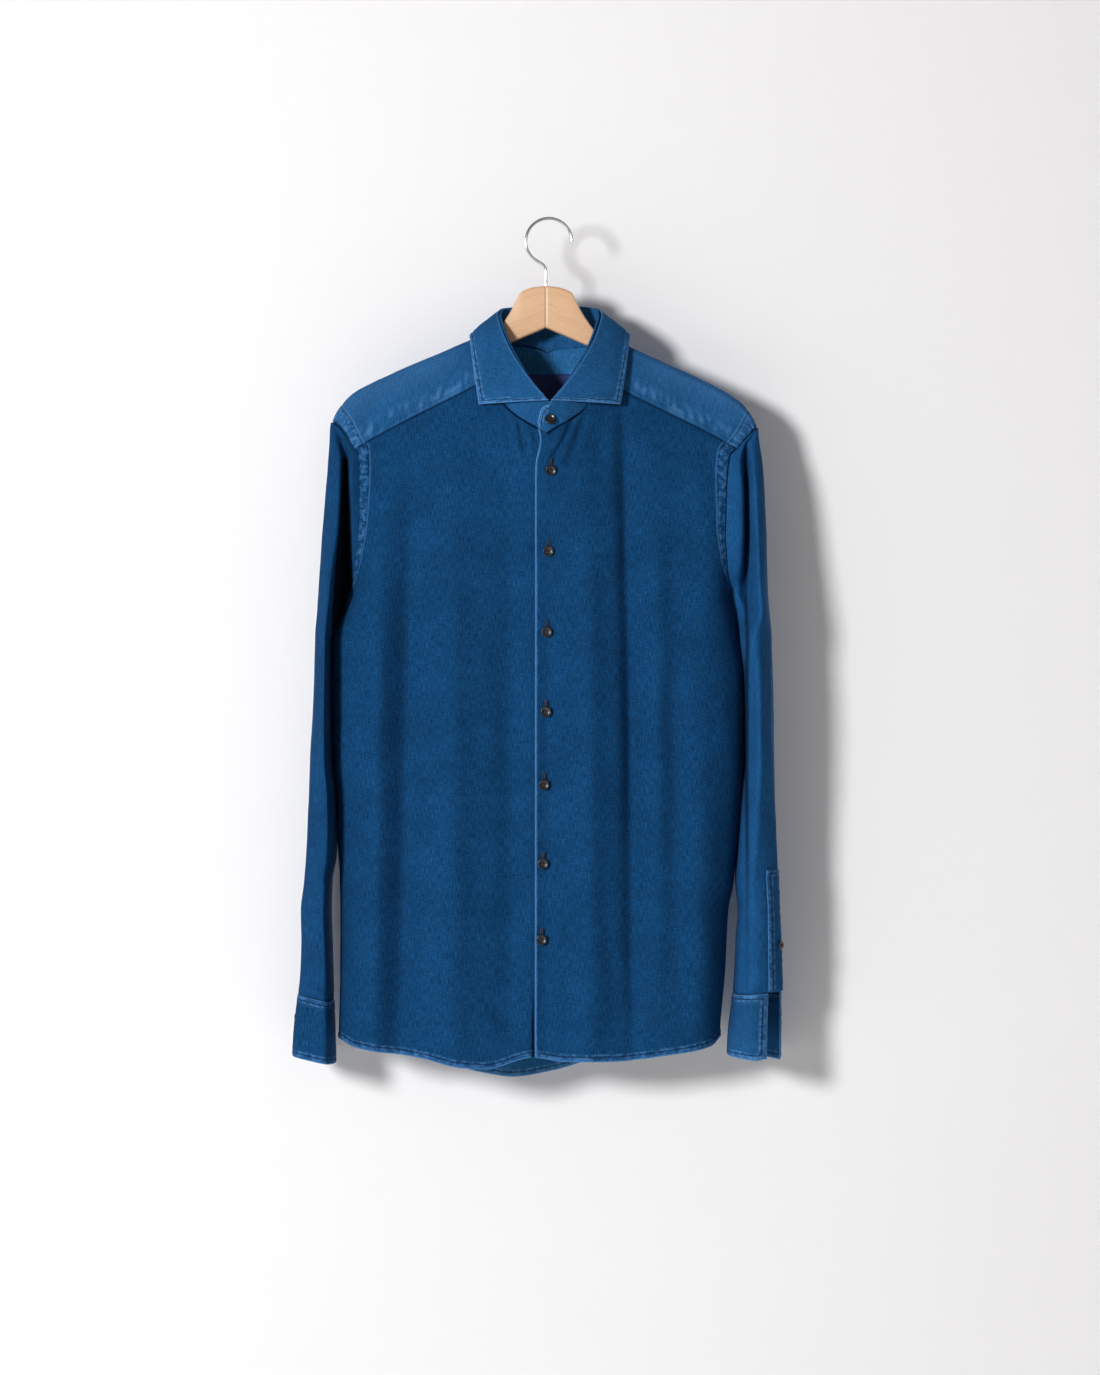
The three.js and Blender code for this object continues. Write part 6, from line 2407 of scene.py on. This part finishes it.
class Closures:
    """All the buttons, and the buttonholes of the right front."""

    def __init__(self, finishes: "Finishes", sleeves: dict[Side, Sleeve]) -> None:
        """Keeps the finishes and the sleeves that carry buttons.

        Args:
            finishes: The finishes.
            sleeves: The sleeves by side.
        """
        self.finishes = finishes
        self.sleeves = sleeves
        self.button = Button()

    def sew(
        self, node: str, name: str, point: Vector, outward: Vector, lift: float, scale: float = 1.0
    ) -> tuple[list[bpy.types.Object], str]:
        """Builds one button, lifted off a point, for its CAD node."""
        seat = framed(point + outward.normalized() * lift, outward, Vector((0.12, 0, 1)))
        return self.button.build(name, seat, scale, self.finishes), node

    def middle(self, node: str) -> Vector:
        """Gives the middle of a CAD button in millimetres."""
        low, high = (Vector(corner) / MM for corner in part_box(node))
        return (low + high) / 2

    def normal_on_front(self, x: float, z: float) -> Vector:
        """Gives the front's outward direction at a place.

        Args:
            x: Distance across.
            z: Height.

        Returns:
            The direction, of length 1.
        """
        a = BODY.point(Face.FRONT, x + 4, z) - BODY.point(Face.FRONT, x - 4, z)
        b = BODY.point(Face.FRONT, x, z + 4) - BODY.point(Face.FRONT, x, z - 4)
        return a.cross(b).normalized()

    def build(self) -> list[tuple[list[bpy.types.Object], str]]:
        """Builds every button where its solid stands.

        Returns:
            Each button with its threads, and the CAD node that it stands for.
        """
        made = []
        for i, (x, z) in enumerate(FRONT_BUTTONS.rows, 1):
            point = BODY.point(Face.FRONT, x, z)
            made.append(self.sew(f"button_{i}", f"front_button_{i}", point, self.normal_on_front(x, z), 0.5))
        stand = "button_stand"
        made.append(self.sew(stand, "band_button", self.middle(stand), Vector((0, -1, 0.32)), -1.2))
        for side, sleeve in self.sleeves.items():
            for kind, scale, around in (
                ("sleeve", 0.82, sum(sleeve.strip) / 2), ("cuff", 1.0, 6.0 if side is Side.LEFT else 6.05)
            ):
                node = f"button_{kind}_{sleeve.word}"
                step = sleeve.form.point(around + 0.1, -760) - sleeve.form.point(around - 0.1, -760)
                outward = step.cross(Vector((0, 0, 1)))
                if outward.x * side.value < 0:
                    outward = -outward
                name = f"{kind}_button_{sleeve.word}"
                made.append(self.sew(node, name, self.middle(node), outward, -1.2 * scale, scale))
        return made

    def buttonholes(self) -> bpy.types.Object:
        """Builds the upright worked buttonholes above the buttons: a bar of thread on each side of a slit.

        Returns:
            All of them as one piece.
        """
        bm = bmesh.new()
        across = Matrix.Rotation(math.pi / 2, 4, "Y")
        for x, z in FRONT_BUTTONS.rows:
            outward = self.normal_on_front(x, z)
            for k, shift in product(range(21), (-0.85, 0.85)):
                height = z - 3 + k * 0.75
                point = BODY.point(Face.FRONT, x + shift, height)
                point += outward * (0.15 - wrapped_pull(x, height))
                add_rod(bm, framed(point, outward, Vector((0, 0, 1))) @ across, 6, 0.34, 0.34, 1.35)
        return finished("worked_buttonholes", bm, self.finishes.thread)


class Hanger:
    """The two-piece wooden hanger with its wire hook."""

    NECK_HALF = 57
    ARM_LENGTH = 210.0
    HALF_THICK = 6.0
    CORNER = 3.2
    STATIONS = 90
    CROWN_RADIUS = 24.2
    CROWN_X = 3.0
    WIRE = 1.6

    def __init__(self, finishes: "Finishes") -> None:
        """Keeps the finishes.

        Args:
            finishes: The finishes.
        """
        self.finishes = finishes
        self.top = ARM_STATIONS.curve("x", "top")
        self.low = ARM_STATIONS.curve("x", "low")

    def section(self, side: Side, out: float) -> tuple[float, float]:
        """Gives an arm's top and bottom at a distance from the centre.

        Args:
            side: Which arm.
            out: Distance from the centre.

        Returns:
            The heights of its top and bottom.
        """
        if out <= self.NECK_HALF:
            top, low = self.top(out), self.low(out)
        else:
            top, low = BODY.ridge(side.value * out) - CLOTH - 0.9, -113.5 - 0.44 * out
        return top, min(low, top - 10)

    def arm(self, side: Side) -> bpy.types.Object:
        """Builds one arm: a rounded plank that thins to its tip.

        Args:
            side: Which arm.

        Returns:
            The arm.
        """

        def ring(out: float) -> list[Vector]:
            """Gives the rounded section at a distance from the centre.

            Args:
                out: The distance.

            Returns:
                The places round it, in order.
            """
            top, low = self.section(side, out)
            near = clamp((self.ARM_LENGTH - out) / 14)
            full = math.sqrt(1 - (1 - near) ** 2) * 0.62 + 0.38
            middle, tall = (top + low) / 2 - (1 - full) * 3, (top - low) / 2 * full
            wide = self.HALF_THICK * (0.75 + 0.25 * full)
            radius = min(self.CORNER, wide * 0.9, tall * 0.6)
            points = []
            for quarter, (y_way, z_way) in enumerate(((1, 1), (-1, 1), (-1, -1), (1, -1))):
                y, z = y_way * (wide - radius), middle + z_way * (tall - radius)
                for k in range(7):
                    angle = (quarter + k / 6) * math.pi / 2
                    points.append(
                        Vector((side.value * out, y + radius * math.cos(angle), z + radius * math.sin(angle)))
                    )
            return points

        bm = bmesh.new()
        loops = []
        for k in range(self.STATIONS + 1):
            out = lerp(0.03, self.ARM_LENGTH, k / self.STATIONS)
            verts = [bm.verts.new(point * MM) for point in ring(out)]
            loops.append([bm.edges.new(pair) for pair in zip(verts, verts[1:] + verts[:1])])
        for before, after in zip(loops, loops[1:]):
            bmesh.ops.bridge_loops(bm, edges=before + after)
        for loop in (loops[0], loops[-1]):
            bmesh.ops.contextual_create(bm, geom=loop)
        bmesh.ops.recalc_face_normals(bm, faces=bm.faces[:])
        arm = finished(f"arm_{side.name.lower()}", bm, self.finishes.beech)
        for polygon in arm.data.polygons:
            polygon.use_smooth = len(polygon.vertices) < 6
        return arm

    def wire(self) -> bpy.types.Object:
        """Builds the hook: straight up from the wood, a short lean, then round over the crown.

        Returns:
            The hook.
        """
        radius = self.CROWN_RADIUS
        centre = Vector((self.CROWN_X, 0, -math.sqrt((radius - self.WIRE) ** 2 - self.CROWN_X**2)))
        start, end = math.pi * 1.22, -0.02

        def crown(angle: float) -> Vector:
            """Gives a point of the round part."""
            return centre + Vector((math.cos(angle), 0, math.sin(angle))) * radius

        join = crown(start)
        points = [Vector((0, 0, lerp(-69, -54, k / 4))) for k in range(4)]
        corners = (
            Vector((0, 0, -54)), Vector((0, 0, -45)),
            join - Vector((math.sin(start), 0, -math.cos(start))) * 9, join,
        )
        for k in range(14):
            t = k / 14
            weights = ((1 - t) ** 3, 3 * t * (1 - t) ** 2, 3 * t * t * (1 - t), t**3)
            points.append(sum((corner * weight for corner, weight in zip(corners, weights)), Vector()))
        points += [crown(lerp(start, end, k / 60)) for k in range(61)]
        curve = bpy.data.curves.new("hook_path", "CURVE")
        curve.dimensions = "3D"
        curve.bevel_depth = self.WIRE * MM
        curve.bevel_resolution = 5
        curve.use_fill_caps = True
        path = curve.splines.new("POLY")
        path.points.add(len(points) - 1)
        for spot, point in zip(path.points, points):
            spot.co = (*(point * MM), 1)
        holder = bpy.data.objects.new("hook_path", curve)
        bpy.context.scene.collection.objects.link(holder)
        mesh = bpy.data.meshes.new_from_object(holder.evaluated_get(bpy.context.evaluated_depsgraph_get()))
        bpy.data.objects.remove(holder)
        bm = bmesh.new()
        bm.from_mesh(mesh)
        bpy.data.meshes.remove(mesh)
        bmesh.ops.recalc_face_normals(bm, faces=bm.faces[:])
        return finished("wire_hook", bm, self.finishes.chrome)


class Finishes:
    """All the finishes, built once."""

    def __init__(self) -> None:
        """Builds each material."""
        self.denim = Denim("indigo_denim", "#01233f", "#1a5083", "#4a80b8").build()
        self.pale_denim = Denim("washed_indigo_denim", "#083560", "#2a6497", "#5a90c8").build()
        # A brighter copy of the denim, as painted light for the right sleeve
        lit_sleeve_denim = Denim("sleeve_indigo_denim", "#06325a", "#25629a", "#5189c0").build()
        # The inside shows more of the undyed weft, so it is paler than the face
        self.reverse_denim = Denim("denim_reverse", "#0e4270", "#3d82bb", "#6ba0d2").build()
        # The right sleeve and its placket take a brighter copy of the denim, painted light that lifts their
        # tone, and its cuff the washed denim; the left sleeve and cuff keep the body's denim
        self.sleeves = {Side.LEFT: (self.denim, self.denim), Side.RIGHT: (lit_sleeve_denim, self.pale_denim)}
        self.tape = SatinTape().build()
        self.horn = Horn().build()
        self.thread = SewingThread().build()
        self.beech = Beech().build()
        self.chrome = ChromedWire().build()


class Studio:
    """The pale room: floor, wall, lights and the camera."""

    WALL_Y = 80.0
    FLOOR_Z = -1500.0
    PAINT = (0.82, 0.82, 0.82, 1)
    SKY = (1.0, 0.89, 0.78, 1)
    SKY_STRENGTH = 0.14
    AIM = Vector((0, 0, -0.5))
    # Name, place in metres, width in metres, watts, colour
    LAMPS = (
        ("window", (-2.3, -4.0, 0.25), 0.8, 194, "#fdfdff"),
        ("fill", (0.9, -3.6, 0.6), 1.8, 7, "#fff8f0"),
        ("rear", (0.6, 3.2, 0.6), 2.4, 75, "#ffffff"),
    )
    CAMERA_MM = (4.2, -5000.0, -490.9)
    SENSOR = 36
    VIEW_HIGH_MM = 1443.75

    def plane(self, name: str, size: float, matrix: Matrix, one_sided: bool) -> bpy.types.Object:
        """Builds one plain painted face of the room.

        Args:
            name: Its name.
            size: Half its width, in metres.
            matrix: Its place and turn.
            one_sided: Whether it is open from behind.

        Returns:
            The face.
        """
        bm = bmesh.new()
        bmesh.ops.create_grid(bm, x_segments=1, y_segments=1, size=size)
        bmesh.ops.transform(bm, matrix=matrix, verts=bm.verts[:])
        paint = Paint(f"{name}_paint")
        material = paint.surface(Base_Color=self.PAINT, Roughness=0.9)
        if one_sided:
            # The wall is painted on the side of the room alone, and open from behind
            back = paint.add("ShaderNodeNewGeometry").outputs["Backfacing"]
            clear = paint.add("ShaderNodeBsdfTransparent").outputs[0]
            both = paint.add("ShaderNodeMixShader", None, i0=back, i1=paint.shader.outputs["BSDF"], i2=clear)
            paint.link(both.outputs[0], paint.output.inputs["Surface"])
        obj = finished(name, bm, material, smooth_faces=False)
        return obj

    def lamp(self, name: str, place: Sequence[float], size: float, power: float, colour: str) -> None:
        """Builds one soft round lamp that points at the shirt.

        Args:
            name: Its name.
            place: Its place, in metres.
            size: Its width, in metres.
            power: Its power, in watts.
            colour: Its colour, as six hex digits after a hash.
        """
        data = bpy.data.lights.new(name, "AREA")
        data.shape = "DISK"
        data.size = size
        data.energy = power
        data.color = linear(colour)[:3]
        lamp = bpy.data.objects.new(name, data)
        lamp.location = place
        lamp.rotation_mode = "QUATERNION"
        lamp.rotation_quaternion = (self.AIM - Vector(place)).to_track_quat("-Z", "Y")
        bpy.context.scene.collection.objects.link(lamp)

    def build(self) -> None:
        """Builds wall, floor, world, lamps and camera."""
        upright = Matrix.Translation((0, self.WALL_Y * MM, -0.5)) @ Matrix.Rotation(math.pi / 2, 4, "X")
        # The wall lets the rear lamp through, so that the back of the cloth is lit as well
        self.plane("wall", 4.0, upright, True).visible_shadow = False
        self.plane("floor", 4.0, Matrix.Translation((0, 0, self.FLOOR_Z * MM)), False)
        world = bpy.data.worlds.new("room")
        world.use_nodes = True
        sky = world.node_tree.nodes["Background"]
        sky.inputs["Color"].default_value = self.SKY
        sky.inputs["Strength"].default_value = self.SKY_STRENGTH
        scene = bpy.context.scene
        scene.world = world
        for lamp in self.LAMPS:
            self.lamp(*lamp)
        scene.view_settings.view_transform = "Standard"
        data = bpy.data.cameras.new("camera")
        data.sensor_width = self.SENSOR
        data.lens = self.SENSOR * -self.CAMERA_MM[1] / self.VIEW_HIGH_MM
        data.clip_start = 0.05
        camera = bpy.data.objects.new("camera", data)
        camera.location = Vector(self.CAMERA_MM) * MM
        camera.rotation_euler = (math.pi / 2, 0, 0)
        scene.collection.objects.link(camera)
        scene.camera = camera


def take(piece: bpy.types.Object, slot: str, *nodes: str) -> None:
    """Lets a finished piece ride on the body and stand for its CAD nodes.

    Args:
        piece: The piece.
        slot: Not used.
        nodes: The CAD nodes that it replaces.
    """
    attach(piece, "root")
    if nodes:
        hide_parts(*nodes)
    LOG.info("%s: %d faces", piece.name, len(piece.data.polygons))


def declare(piece: bpy.types.Object, held: str, rests_on: list[bpy.types.Object], *flat: float) -> None:
    """Works out the cut of a piece of cloth from what shows of it; nothing is kept.

    Args:
        piece: The piece of cloth.
        held: Not used.
        rests_on: Not used.
        flat: Its cut size in metres; a narrow strip's width is left out and worked out from its area.
    """
    area = sum(polygon.area for polygon in piece.data.polygons)
    if len(flat) == 1:
        flat = (*flat, math.ceil(area / flat[0] * 1000) / 1000)


CUFFS = {
    Side.LEFT: dict(
        top_inner=-820, top_outer=-811, low_inner=-885, low_outer=-877, inner=221, outer=266, half=50,
        open_from=5.1, open_to=5.5, spread=3,
    ),
    Side.RIGHT: dict(
        top_inner=-812, top_outer=-809, low_inner=-876, low_outer=-884, inner=190.5, outer=247.5, half=50,
        open_from=3.55, open_to=5.0, spread=6,
    ),
}
PLACKETS = {Side.LEFT: (5.55, 6.45), Side.RIGHT: (3.55, 4.45)}


def build_cloth(
    finishes: Finishes, sleeves: dict[Side, Sleeve]
) -> tuple[bpy.types.Object, list[bpy.types.Object]]:
    """Args:
        finishes: The finishes.
        sleeves: The forms of both sleeves.

    Returns:
        The yoke, which rests on the hanger, and the tubes that hang from it.
    """
    fronts = Fronts(finishes.denim)
    left, right = fronts.build()
    take(left, "denim", "front_under")
    take(right, "denim", "front_over")
    back = Back(fronts, finishes.denim, finishes.reverse_denim).build()
    take(back, "denim", "back")
    yoke = Yoke(finishes.pale_denim, finishes.reverse_denim).build()
    take(yoke, "denim", "yoke")
    collar = Collar(finishes.pale_denim)
    band, leaf = collar.band(), collar.leaf()
    take(band, "collar_denim", "collar_stand")
    take(leaf, "collar_denim", "collar_leaf")
    tubes = []
    for sleeve in sleeves.values():
        cloth, trim = finishes.sleeves[sleeve.side]
        tube, cuff, strip = sleeve.build(cloth), sleeve.cuff(trim), sleeve.placket(cloth)
        take(tube, "denim", f"sleeve_{sleeve.word}")
        take(cuff, "denim", f"cuff_{sleeve.word}")
        take(strip, "denim", f"sleeve_placket_{sleeve.word}")
        tubes.append(tube)
        declare(cuff, "hung", [tube], 0.24)
        declare(strip, "hung", [tube], 0.13)
    label = neck_label(finishes.tape)
    take(label, "label", "neck_label")
    declare(band, "draped", [yoke], 0.44)
    declare(leaf, "folded", [band], 0.46)
    declare(label, "hung", [yoke], 0.07)
    declare(left, "hung", [yoke], 0.27, 0.76)
    declare(right, "hung", [yoke], 0.25, 0.75)
    declare(back, "hung", [yoke], 0.5, 0.67)
    return yoke, tubes


def main() -> None:
    """Builds the shirt and its hanger piece by piece, and dresses them."""
    logging.basicConfig(level=logging.INFO)
    finishes = Finishes()
    sleeves = {side: Sleeve(side, CUFFS[side], PLACKETS[side]) for side in Side}
    yoke, tubes = build_cloth(finishes, sleeves)
    closures = Closures(finishes, sleeves)
    for (button, threads), node in closures.build():
        take(button, "horn", node)
        take(threads, "horn")
    take(closures.buttonholes(), "denim")
    hanger = Hanger(finishes)
    arms = [hanger.arm(side) for side in Side]
    for arm in arms:
        take(arm, "beech", f"hanger_{arm.name}")
    take(hanger.wire(), "chrome", "hanger_hook")
    declare(yoke, "draped", arms, 0.5, 0.22)
    for tube in tubes:
        declare(tube, "hung", [yoke], 0.31, 0.62)
    Studio().build()


if __name__ == "__main__":
    main()
